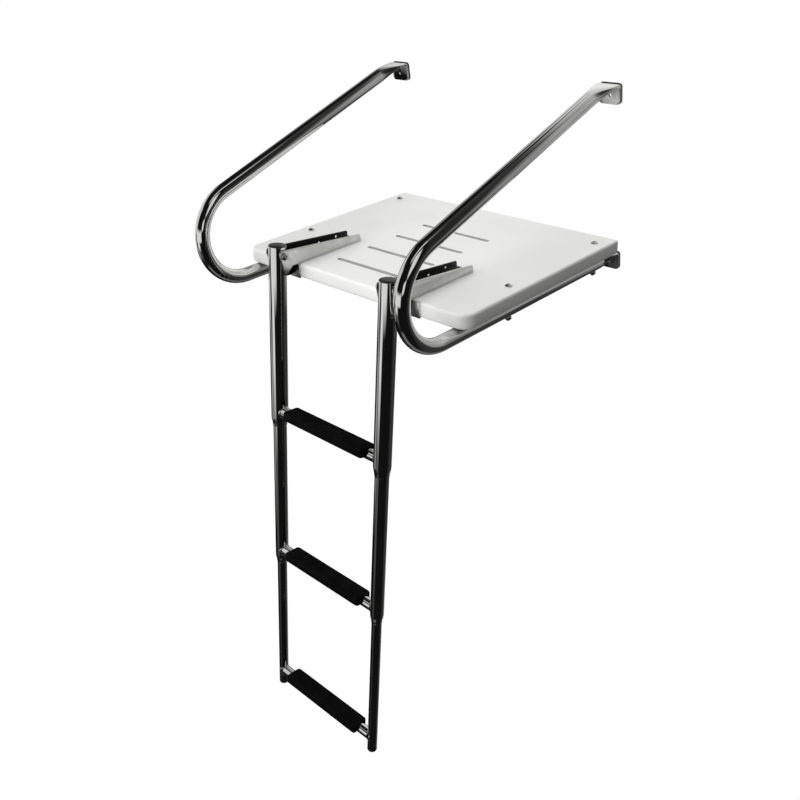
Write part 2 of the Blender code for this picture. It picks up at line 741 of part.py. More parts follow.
def build_tread(name, drop, parent):
    half, deep = TREAD_LENGTH / 2, TREAD_DEPTH / 2
    corners = [(-half, -deep, TREAD_CORNER), (half, -deep, TREAD_CORNER)]
    corners += [(half, deep, TREAD_CORNER), (-half, deep, TREAD_CORNER)]
    top = STEP_TUBE_RADIUS + TREAD_TOP
    thick = top + TREAD_SKIRT
    middle = Matrix.Translation((0, -TREAD_FORWARD, -drop + top - thick / 2))
    tread = add_part(name, slab_mesh(name, rounded(corners), thick, middle), BLACK_RUBBER, parent)
    edge = tread.modifiers.new("soft_edges", "BEVEL")
    edge.width = TREAD_EDGE
    edge.segments = EDGE_STEPS
    edge.limit_method = "ANGLE"
    edge.angle_limit = EDGE_ANGLE
    saddle = STEP_TUBE_RADIUS + GAP
    groove = cylinder_mesh("saddle", saddle, 2 * TREAD_LENGTH, (0, 0, -drop), ALONG_X, ROUND_SIDES)
    cut(tread, f"{name}_saddle", groove, parent)
    mouth = box_mesh("mouth", (-TREAD_LENGTH, -saddle, -drop - thick), (TREAD_LENGTH, saddle, -drop))
    cut(tread, f"{name}_mouth", mouth, parent)
    return tread


def build_stage(stage, parent):
    """Two rails with what is on their ends, and the step between them."""
    for side, sign in SIDES:
        name = f"{side}_{STAGES[stage]}_rail"
        x = sign * RAIL_X
        profile = rail_profile(stage, rail_top(stage), RAIL_ENDS[stage])
        rail = turned(name, profile, STAINLESS, (x, 0, 0), parent, hollow=True)
        if stage == 0:
            hole = cylinder_mesh("hole", PIVOT_RADIUS + GAP, 4 * RAIL_RADII[0], (x, 0, 0), ALONG_X)
            cut(rail, f"{name}_pivot_hole", hole, parent)
            build_cap(f"{side}_rail_cap", x, parent)
        else:
            build_glide(f"{side}_{STAGES[stage]}_glide", stage, x, parent)
        if stage + 1 == len(STAGES):
            build_plug(f"{side}_bottom_cap", x, parent)
    build_step(stage, parent)


def main():
    transom = add_empty("transom", (0, 0, 0), (TRANSOM_RAKE, 0, 0))
    build_board()
    for side, sign in SIDES:
        build_handrail(side, sign, transom)
        build_bracket(side, sign)
    carrier = add_empty("upper_ladder_pivot", PIVOT, (-LADDER_LEAN, 0, 0))
    for stage, name in enumerate(STAGES):
        if stage:
            carrier = add_empty(f"{name}_ladder_slide", (0, 0, 0), parent=carrier)
        build_stage(stage, carrier)


main()
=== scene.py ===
"""Looks of the boat boarding ladder: smooth tubes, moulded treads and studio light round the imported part.

Lengths are metres, +Z is up, +X is to the right of someone facing the boat and +Y points at the boat.
"""

import json
import logging
import math
from dataclasses import dataclass
from enum import Enum
from typing import Callable, Iterable, Sequence

import bmesh
import bpy
from bmesh.types import BMEdge, BMesh, BMVert
from bpy.types import Material, Node, NodeSocket, NodeTree, Object
from mathutils import Matrix, Vector


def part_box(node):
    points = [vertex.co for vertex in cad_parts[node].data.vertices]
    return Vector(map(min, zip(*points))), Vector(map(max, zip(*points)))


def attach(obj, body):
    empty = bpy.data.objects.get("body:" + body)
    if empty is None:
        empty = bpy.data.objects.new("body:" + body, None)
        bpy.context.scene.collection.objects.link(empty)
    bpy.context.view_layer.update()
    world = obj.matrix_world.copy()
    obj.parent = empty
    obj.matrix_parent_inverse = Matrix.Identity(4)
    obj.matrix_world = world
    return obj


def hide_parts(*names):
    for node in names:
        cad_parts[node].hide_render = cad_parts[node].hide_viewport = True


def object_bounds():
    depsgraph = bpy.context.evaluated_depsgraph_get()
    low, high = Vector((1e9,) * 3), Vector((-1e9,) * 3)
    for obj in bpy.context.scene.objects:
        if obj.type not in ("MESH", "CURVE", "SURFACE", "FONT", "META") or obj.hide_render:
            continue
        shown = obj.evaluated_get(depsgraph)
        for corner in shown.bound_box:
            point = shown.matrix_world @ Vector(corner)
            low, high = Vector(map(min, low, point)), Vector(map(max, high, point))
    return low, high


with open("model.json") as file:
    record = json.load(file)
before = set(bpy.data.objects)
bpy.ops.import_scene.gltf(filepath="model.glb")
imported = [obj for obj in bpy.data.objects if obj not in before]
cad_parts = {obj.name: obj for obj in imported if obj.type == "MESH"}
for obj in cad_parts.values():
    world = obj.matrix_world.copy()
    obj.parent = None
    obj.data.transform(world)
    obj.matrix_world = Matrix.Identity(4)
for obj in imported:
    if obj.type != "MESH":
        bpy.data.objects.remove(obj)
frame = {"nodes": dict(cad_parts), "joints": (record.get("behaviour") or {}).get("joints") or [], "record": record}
CAD_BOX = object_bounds()
LOG = logging.getLogger("boarding_ladder")
PLATFORM = "platform"

Colour = tuple[float, float, float]
Profile = Sequence[tuple[float, float]]
Stops = Sequence[tuple[float, float]]

ROUND_STEPS = 64
SMALL_STEPS = 32
SHARP_ANGLE = math.radians(38)
CORNER_ANGLE = math.radians(50)
PARALLEL = 0.99
WELD_DISTANCE = 1e-6
RIGHTWARD = Vector((1, 0, 0))
BOATWARD = Vector((0, 1, 0))
UPWARD = Vector((0, 0, 1))
Z_TO_RIGHT = Matrix.Rotation(math.pi / 2, 4, "Y")
Z_TO_FRONT = Matrix.Rotation(math.pi / 2, 4, "X")


class Word(Enum):
    """Options whose names are words of the node names."""

    @property
    def label(self) -> str:
        """The word, as node names have it."""
        return self.name.lower()


class Side(Word):
    """The two halves of the ladder, as the sign of their X."""

    LEFT = -1
    RIGHT = 1


class End(Word):
    """The two ends of a handrail, from the top."""

    UPPER = 0
    LOWER = 1


class Stage(Word):
    """The three telescoping stages, from the top."""

    UPPER = 0
    MIDDLE = 1
    LOWER = 2

    @property
    def body(self) -> str:
        """The body that carries the stage."""
        return f"{self.label}_ladder"


class Slot(Enum):
    """The record's material slots."""

    GELCOAT = "gelcoat_board"
    POLISHED = "polished_stainless"
    SHEET = "sheet_stainless"
    PLASTIC = "black_plastic"
    RUBBER = "black_rubber"
    NYLON = "nylon"


class Axis(Enum):
    """What a light on the room's walls changes along. The compass runs round the room."""

    X = "X"
    Y = "Y"
    Z = "Z"
    COMPASS = "Compass"


class Blend(Enum):
    """How greys go together."""

    MULTIPLY = "MULTIPLY"
    LIGHTEN = "LIGHTEN"


def set_inputs(node: Node, values: dict[str, object]) -> None:
    """Sets some of a node's inputs, by their names."""
    for socket, value in values.items():
        node.inputs[socket].default_value = value


def wire(source: Node, output: str, target: Node, entry: str | int) -> None:
    """Links an output of one node to an input of another."""
    source.id_data.links.new(source.outputs[output], target.inputs[entry])


@dataclass(frozen=True)
class Finish:
    """A surface: two tones that drift into each other, a roughness range and a fine grain."""

    name: str
    slot: Slot
    light: Colour
    dark: Colour
    smooth: float
    rough: float
    drift_scale: float
    grain_scale: float
    grain_depth: float
    grain_stretch: Colour = (1.0, 1.0, 1.0)
    metallic: float = 0.0
    specular: float = 0.5

    def material(self) -> Material:
        """Makes the finish's node material, or finds it again.

        Returns:
            The material.
        """
        found = bpy.data.materials.get(self.name)
        if found:
            return found
        made = bpy.data.materials.new(self.name)
        made.use_nodes = True
        nodes = made.node_tree.nodes
        shader = nodes["Principled BSDF"]
        set_inputs(shader, {"Metallic": self.metallic, "Specular IOR Level": self.specular})
        drift = nodes.new("ShaderNodeGroup")
        drift.node_tree = drifting_surface()
        set_inputs(drift, {"Light": (*self.light, 1), "Dark": (*self.dark, 1)})
        set_inputs(drift, {"Smooth": self.smooth, "Rough": self.rough, "Drift Scale": self.drift_scale})
        set_inputs(drift, {"Grain Scale": self.grain_scale, "Grain Stretch": self.grain_stretch})
        bump = nodes.new("ShaderNodeBump")
        set_inputs(bump, {"Distance": self.grain_depth})
        wire(nodes.new("ShaderNodeTexCoord"), "Object", drift, "Vector")
        wire(drift, "Colour", shader, "Base Color")
        wire(drift, "Roughness", shader, "Roughness")
        wire(drift, "Height", bump, "Height")
        wire(bump, "Normal", shader, "Normal")
        return made


def drifting_surface() -> NodeTree:
    """Makes the node group that every finish shares, or finds it again.

    Returns:
        A group that puts out a drifting colour, a roughness and a grain height.
    """
    name = "drifting_surface"
    if name in bpy.data.node_groups:
        return bpy.data.node_groups[name]
    group = bpy.data.node_groups.new(name, "ShaderNodeTree")
    entries = {
        "Vector": "Vector", "Light": "Color", "Dark": "Color", "Smooth": "Float", "Rough": "Float",
        "Drift Scale": "Float", "Grain Scale": "Float", "Grain Stretch": "Vector",
    }
    results = {"Colour": "Color", "Roughness": "Float", "Height": "Float"}
    for way, sockets in (("INPUT", entries), ("OUTPUT", results)):
        for socket, kind in sockets.items():
            group.interface.new_socket(socket, in_out=way, socket_type=f"NodeSocket{kind}")
    given = group.nodes.new("NodeGroupInput")
    out = group.nodes.new("NodeGroupOutput")
    drift = group.nodes.new("ShaderNodeTexNoise")
    set_inputs(drift, {"Detail": 4})
    spread = group.nodes.new("ShaderNodeMapRange")
    set_inputs(spread, {"From Min": 0.35, "From Max": 0.65})
    tone = group.nodes.new("ShaderNodeMix")
    tone.data_type = "RGBA"
    gloss = group.nodes.new("ShaderNodeMapRange")
    stretch = group.nodes.new("ShaderNodeVectorMath")
    stretch.operation = "MULTIPLY"
    grain = group.nodes.new("ShaderNodeTexNoise")
    set_inputs(grain, {"Detail": 3})
    wire(given, "Vector", drift, "Vector")
    wire(given, "Drift Scale", drift, "Scale")
    wire(drift, "Fac", spread, "Value")
    wire(spread, "Result", tone, "Factor")
    wire(given, "Light", tone, "A")
    wire(given, "Dark", tone, "B")
    wire(tone, "Result", out, "Colour")
    wire(spread, "Result", gloss, "Value")
    wire(given, "Smooth", gloss, "To Min")
    wire(given, "Rough", gloss, "To Max")
    wire(gloss, "Result", out, "Roughness")
    wire(given, "Vector", stretch, 0)
    wire(given, "Grain Stretch", stretch, 1)
    wire(stretch, "Vector", grain, "Vector")
    wire(given, "Grain Scale", grain, "Scale")
    wire(grain, "Fac", out, "Height")
    return group


POLISHED_TUBE = Finish(
    "polished_tube", Slot.POLISHED, light=(0.66, 0.66, 0.645), dark=(0.60, 0.60, 0.585), smooth=0.02,
    rough=0.045, drift_scale=14.0, grain_scale=900.0, grain_depth=3e-7, grain_stretch=(1.0, 1.0, 0.05),
    metallic=1.0,
)
TURNED_STEEL = Finish(
    "turned_steel", Slot.POLISHED, light=(0.60, 0.60, 0.585), dark=(0.50, 0.50, 0.485), smooth=0.18,
    rough=0.28, drift_scale=60.0, grain_scale=1600.0, grain_depth=1e-5, metallic=1.0,
)
SATIN_SHEET = Finish(
    "satin_sheet", Slot.SHEET, light=(0.66, 0.66, 0.635), dark=(0.58, 0.58, 0.555), smooth=0.26,
    rough=0.36, drift_scale=30.0, grain_scale=1500.0, grain_depth=1e-5, grain_stretch=(1.0, 0.04, 1.0),
    metallic=1.0,
)
# Near-black grey for the faces inside the bracket channel: painted shade.
CHANNEL_PAINTED_SHADE = Finish(
    "channel_painted_shade", Slot.SHEET, light=(0.045, 0.045, 0.043), dark=(0.020, 0.020, 0.019), smooth=0.50,
    rough=0.65, drift_scale=30.0, grain_scale=1500.0, grain_depth=1e-5, grain_stretch=(1.0, 0.04, 1.0),
    specular=0.15,
)
GELCOAT = Finish(
    "gelcoat", Slot.GELCOAT, light=(0.84, 0.84, 0.825), dark=(0.80, 0.80, 0.785), smooth=0.34,
    rough=0.44, drift_scale=7.0, grain_scale=420.0, grain_depth=3e-5, specular=0.2,
)
# Darker grey for the faces inside the board's grooves: painted shade in the recesses.
GROOVE_PAINTED_SHADE = Finish(
    "groove_painted_shade", Slot.GELCOAT, light=(0.40, 0.40, 0.385), dark=(0.34, 0.34, 0.33), smooth=0.60,
    rough=0.70, drift_scale=7.0, grain_scale=420.0, grain_depth=3e-5, specular=0.1,
)
MOULDED_PLASTIC = Finish(
    "moulded_plastic", Slot.PLASTIC, light=(0.012, 0.012, 0.012), dark=(0.008, 0.008, 0.008), smooth=0.38,
    rough=0.50, drift_scale=50.0, grain_scale=1800.0, grain_depth=6e-5,
)
TREAD_RUBBER = Finish(
    "tread_rubber", Slot.RUBBER, light=(0.003, 0.003, 0.003), dark=(0.0018, 0.0018, 0.0018), smooth=0.55,
    rough=0.72, drift_scale=40.0, grain_scale=1400.0, grain_depth=1e-4, specular=0.05,
)
SLIDE_NYLON = Finish(
    "slide_nylon", Slot.NYLON, light=(0.75, 0.74, 0.70), dark=(0.69, 0.68, 0.63), smooth=0.45,
    rough=0.55, drift_scale=60.0, grain_scale=1500.0, grain_depth=2e-5,
)


def box_in(node: str, place: Matrix) -> tuple[Vector, Vector]:
    """Measures a frame node along the axes of another place.

    Args:
        node: The node's name.
        place: The matrix of that place.

    Returns:
        The lowest and highest corners, in the place's own axes.
    """
    inverse = place.inverted()
    corners = [inverse @ vert.co for vert in frame["nodes"][node].data.vertices]
    low = Vector([min(corner[i] for corner in corners) for i in range(3)])
    high = Vector([max(corner[i] for corner in corners) for i in range(3)])
    return low, high


def finished_mesh(name: str, work: BMesh) -> bpy.types.Mesh:
    """Turns a bmesh into a mesh.

    Args:
        name: The mesh's name.
        work: The bmesh, which is freed.

    Returns:
        The mesh.
    """
    mesh = bpy.data.meshes.new(name)
    work.to_mesh(mesh)
    work.free()
    return mesh


def add_object(name: str, data: bpy.types.ID) -> Object:
    """Puts an object into the scene, at the origin.

    Args:
        name: The object's name.
        data: Its mesh, lamp or camera.

    Returns:
        The object.
    """
    made = bpy.data.objects.new(name, data)
    bpy.context.scene.collection.objects.link(made)
    return made


def add_piece(name: str, work: BMesh, finish: Finish, body: str, nodes: Iterable[str] = ()) -> Object:
    """Turns a finished bmesh into a piece that rides on a body.

    Args:
        name: The piece's name.
        work: The bmesh, which is freed.
        finish: The piece's finish.
        body: The body that carries it.
        nodes: The frame nodes that it stands for.

    Returns:
        The piece's object.
    """
    bmesh.ops.remove_doubles(work, verts=work.verts, dist=WELD_DISTANCE)
    bmesh.ops.recalc_face_normals(work, faces=work.faces)
    piece = add_object(name, finished_mesh(name, work))
    dress(piece, finish)
    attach(piece, body)
    if nodes:
        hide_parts(*nodes)
    LOG.info("%s: %d faces on %s", name, len(piece.data.polygons), body)
    return piece


def dress(piece: Object, finish: Finish) -> None:
    """Gives a piece its finish and smooth shading between its sharp edges.

    Args:
        piece: The piece.
        finish: Its finish.
    """
    piece.data.materials.clear()
    piece.data.materials.append(finish.material())
    shade(piece)


def shade(piece: Object) -> None:
    """Shades a piece smooth between its sharp edges."""
    piece.data.shade_smooth()
    piece.data.set_sharp_from_angle(angle=SHARP_ANGLE)


def carve(piece: Object, cutters: BMesh, finish: Finish | None = None) -> None:
    """Cuts closed shapes out of a piece for good.

    Args:
        piece: The piece.
        cutters: The shapes, which are freed.
        finish: The finish of the cut faces, where it isn't the piece's own.
    """
    tool = add_object("cutters", finished_mesh("cutters", cutters))
    tool.data.materials.append(finish.material() if finish else piece.data.materials[0])
    cut = piece.modifiers.new("cut", "BOOLEAN")
    cut.operation = "DIFFERENCE"
    cut.solver = "EXACT"
    cut.material_mode = "TRANSFER"
    cut.object = tool
    graph = bpy.context.evaluated_depsgraph_get()
    carved = bpy.data.meshes.new_from_object(piece.evaluated_get(graph))
    piece.modifiers.remove(cut)
    piece.data = carved
    bpy.data.objects.remove(tool)
    shade(piece)


def lathe(
    work: BMesh, profile: Profile, place: Matrix, steps: int = ROUND_STEPS, ring: bool = False,
) -> None:
    """Spins an outline of (radius, height) points about the Z of a place.

    Args:
        work: The bmesh that takes the shape.
        profile: The outline's points.
        place: Where the shape goes.
        steps: How many faces go round.
        ring: Whether the outline closes on itself.
    """
    verts = [work.verts.new((radius, 0, height)) for radius, height in profile]
    edges = [work.edges.new(pair) for pair in zip(verts, verts[1:])]
    if ring:
        edges.append(work.edges.new((verts[-1], verts[0])))
    before = set(work.verts) - set(verts)
    bmesh.ops.spin(
        work, geom=verts + edges, cent=(0, 0, 0), axis=UPWARD,
        angle=2 * math.pi, steps=steps, use_merge=True,
    )
    made = [vert for vert in work.verts if vert not in before]
    bmesh.ops.remove_doubles(work, verts=made, dist=WELD_DISTANCE)
    made = [vert for vert in work.verts if vert not in before]
    bmesh.ops.transform(work, matrix=place, verts=made)


def block(work: BMesh, low: Vector, high: Vector, place: Matrix = Matrix()) -> list[BMVert]:
    """Adds a box between two corners.

    Args:
        work: The bmesh that takes the box.
        low: Its lowest corner, in the place's axes.
        high: Its highest corner.
        place: Where the box goes.

    Returns:
        The box's vertices.
    """
    size = Matrix.Diagonal((*(high - low), 1))
    middle = place @ Matrix.Translation((low + high) / 2)
    return bmesh.ops.create_cube(work, size=1, matrix=middle @ size)["verts"]


def rod(work: BMesh, radius: float, length: float, place: Matrix, sides: int) -> None:
    """Adds a closed prism about the middle of a place, along its Z."""
    bmesh.ops.create_cone(
        work, cap_ends=True, segments=sides, radius1=radius, radius2=radius, depth=length, matrix=place,
    )


def edges_along(
    verts: Sequence[BMVert], direction: Vector, keep: Callable[[Vector], bool] | None = None,
) -> list[BMEdge]:
    """Finds the edges between some vertices that run one way.

    Args:
        verts: The vertices.
        direction: The way.
        keep: A test of an edge's middle, where only some edges are wanted.

    Returns:
        The edges.
    """
    found = []
    for edge in {edge for vert in verts for edge in vert.link_edges}:
        run = (edge.verts[1].co - edge.verts[0].co).normalized()
        middle = (edge.verts[1].co + edge.verts[0].co) / 2
        if abs(run.dot(direction)) > PARALLEL and (keep is None or keep(middle)):
            found.append(edge)
    return found


def soften(work: BMesh, edges: Sequence[BMEdge], width: float, segments: int) -> None:
    """Rounds some edges by a radius, with a number of faces across each rounding."""
    bmesh.ops.bevel(
        work, geom=list(edges), offset=width, offset_type="OFFSET", segments=segments,
        profile=0.5, affect="EDGES", clamp_overlap=True, material=-1,
    )


def sharp_edges(work: BMesh, angle: float = CORNER_ANGLE) -> list[BMEdge]:
    """The edges whose two faces meet at more than an angle."""
    return [edge for edge in work.edges if len(edge.link_faces) == 2 and edge.calc_face_angle() > angle]


def verts_of(edges: Iterable[BMEdge]) -> set[BMVert]:
    """The vertices that some edges run between."""
    return {vert for edge in edges for vert in edge.verts}


def push(work: BMesh, rim: Sequence[BMEdge], offset: Vector) -> list[BMEdge]:
    """Draws a rim of edges out along an offset.

    Args:
        work: The bmesh.
        rim: The open rim.
        offset: How far and which way.

    Returns:
        The new rim.
    """
    made = bmesh.ops.extrude_edge_only(work, edges=list(rim))["geom"]
    bmesh.ops.translate(work, vec=offset, verts=[item for item in made if isinstance(item, BMVert)])
    return [item for item in made if isinstance(item, BMEdge)]


def named(entries: Iterable[dict], name: str) -> dict:
    """The entry of a list that has a name."""
    return next(entry for entry in entries if entry["name"] == name)


TRANSOM_AXIS = named(frame["record"]["mounts"], "transom")["axis"]
TRANSOM = Matrix.Rotation(math.atan2(TRANSOM_AXIS[2], TRANSOM_AXIS[1]), 4, "X")
TRANSOM_OUT = TRANSOM.to_3x3() @ BOATWARD
TRANSOM_UP = TRANSOM.to_3x3() @ UPWARD
PIVOT = named(frame["joints"], "ladder_fold")["pos_m"]
SLIDE_AXIS = named(frame["joints"], "middle_slide")["axis"]
LADDER = Matrix.Translation(PIVOT) @ Matrix.Rotation(-math.atan2(SLIDE_AXIS[1], SLIDE_AXIS[2]), 4, "X")


@dataclass
class Board:
    """The white platform board with its drain grooves."""

    corner: float = 0.024
    corner_steps: int = 12
    back_corner: float = 0.007
    back_steps: int = 6
    edge: float = 0.005
    edge_steps: int = 4
    groove_count: int = 4
    groove_length: float = 0.161
    groove_first: float = 0.060
    groove_pitch: float = 0.0745
    groove_radius: float = 0.0046
    groove_depth: float = 0.0045

    def build(self) -> None:
        """Shapes the slab, rounds it and presses the grooves in, with painted shade on the groove faces."""
        low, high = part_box("platform_board")
        middle = (low.y + high.y) / 2
        work = bmesh.new()
        verts = block(work, low, high)
        front = edges_along(verts, UPWARD, lambda place: place.y < middle)
        soften(work, front, self.corner, self.corner_steps)
        back = edges_along(work.verts, UPWARD, lambda place: place.y > high.y - self.back_corner / 2)
        soften(work, back, self.back_corner, self.back_steps)
        soften(work, sharp_edges(work), self.edge, self.edge_steps)
        piece = add_piece("board", work, GELCOAT, PLATFORM, ["platform_board"])
        # The cut groove faces take the darker grey, which is painted shade in the grooves.
        carve(piece, self.grooves(low.y, high.z), GROOVE_PAINTED_SHADE)

    def grooves(self, front: float, top: float) -> BMesh:
        """Makes the round-ended bars that the grooves are the print of.

        Args:
            front: The Y of the board's front edge.
            top: The Z of its top.

        Returns:
            The bars.
        """
        work = bmesh.new()
        half = self.groove_length / 2 - self.groove_radius
        deep = Matrix.Diagonal((1, 1, self.groove_depth / self.groove_radius, 1))
        for index in range(self.groove_count):
            place = Vector((0, front + self.groove_first + self.groove_pitch * index, top))
            made = bmesh.ops.create_uvsphere(
                work, u_segments=SMALL_STEPS, v_segments=SMALL_STEPS // 2, radius=self.groove_radius,
                matrix=Matrix.Translation(place) @ deep @ Z_TO_RIGHT,
            )["verts"]
            for side in Side:
                end = [vert for vert in made if side.value * vert.co.x > WELD_DISTANCE]
                bmesh.ops.translate(work, vec=(side.value * half, 0, 0), verts=end)
        return work


@dataclass
class Bolts:
    """Domed bolts and chamfered nuts, each put where its node is.

    The dome and the socket are shares of the head's height, and the radii are shares of the head's radius.
    """

    platform_head: float = 0.0030
    bracket_head: float = 0.0020
    pivot_head: float = 0.0045
    dome_height: float = 0.75
    dome_degrees: Sequence[int] = range(30, 91, 12)
    socket_radius: float = 0.42
    socket_depth: float = 0.7
    socket_rim: float = 0.05
    shank_radius: float = 0.5
    tip_radius: float = 0.4
    tip_length: float = 0.0005
    nut_sides: int = 6
    nut_chamfer: float = 0.0008
    nut_chamfer_steps: int = 2

    def build(self, side: Side) -> None:
        """Makes every bolt and nut of one side.

        Args:
            side: The side.
        """
        for end in ("front", "back"):
            self.bolt(f"{side.label}_{end}_platform_bolt", UPWARD, self.platform_head)
            self.bolt(f"{side.label}_{end}_bracket_bolt", UPWARD, self.bracket_head)
            self.nut(f"{side.label}_{end}_platform_nut", UPWARD)
            self.nut(f"{side.label}_{end}_bracket_nut", UPWARD)
        inward = Vector((-side.value, 0, 0))
        self.bolt(f"{side.label}_pivot_bolt", inward, self.pivot_head)
        self.nut(f"{side.label}_pivot_nut", inward)

    def place(self, node: str, axis: Vector) -> tuple[Matrix, float, float]:
        """Finds where a bolt or nut node stands.

        Args:
            node: The node's name.
            axis: The way that its head faces, which is along X, Y or Z.

        Returns:
            A place whose Z is the axis, its radius and its length along the axis.
        """
        low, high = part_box(node)
        turn = UPWARD.rotation_difference(axis).to_matrix().to_4x4()
        size = high - low
        across = max(size[i] for i in range(3) if not axis[i])
        along = next(size[i] for i in range(3) if axis[i])
        return Matrix.Translation((low + high) / 2) @ turn, across / 2, along

    def bolt(self, node: str, axis: Vector, head: float) -> None:
        """Makes a bolt with a domed, socketed head.

        Args:
            node: The node that it replaces.
            axis: The way that its head faces.
            head: The head's height.
        """
        place, radius, length = self.place(node, axis)
        top = length / 2
        seat = top - head
        shank = radius * self.shank_radius
        socket = radius * self.socket_radius
        floor = top - head * self.socket_depth
        profile = [(0, floor), (socket, floor), (socket, top - head * self.socket_rim)]
        for angle in map(math.radians, self.dome_degrees):
            drop = head * self.dome_height * (1 - math.cos(angle))
            profile.append((radius * math.sin(angle), top - drop))
        profile += [(radius, seat), (shank, seat), (shank, self.tip_length - top)]
        profile += [(radius * self.tip_radius, -top), (0, -top)]
        work = bmesh.new()
        lathe(work, profile, place, SMALL_STEPS)
        add_piece(f"{node}_turned", work, TURNED_STEEL, PLATFORM, [node])

    def nut(self, node: str, axis: Vector) -> None:
        """Makes a hexagon nut with chamfered rims.

        Args:
            node: The node that it replaces.
            axis: The way that it faces.
        """
        place, radius, height = self.place(node, axis)
        work = bmesh.new()
        rod(work, radius, height, place, self.nut_sides)
        soften(work, work.edges[:], self.nut_chamfer, self.nut_chamfer_steps)
        add_piece(f"{node}_hex", work, TURNED_STEEL, PLATFORM, [node])


@dataclass(frozen=True)
class Station:
    """One cross-section of a bar: a middle, which way is up, half sizes and how square it is."""

    middle: Vector
    up: Vector
    half_width: float
    half_height: float
    power: float

    def point(self, cos: float, sin: float) -> Vector:
        """Finds the place on the section's outline of a point of the unit circle.

        Args:
            cos: The point's share along X.
            sin: The point's share along up.

        Returns:
            The place.
        """
        across = math.copysign(abs(cos) ** self.power, cos) * self.half_width
        above = math.copysign(abs(sin) ** self.power, sin) * self.half_height
        return self.middle + Vector((across, 0, 0)) + self.up * above


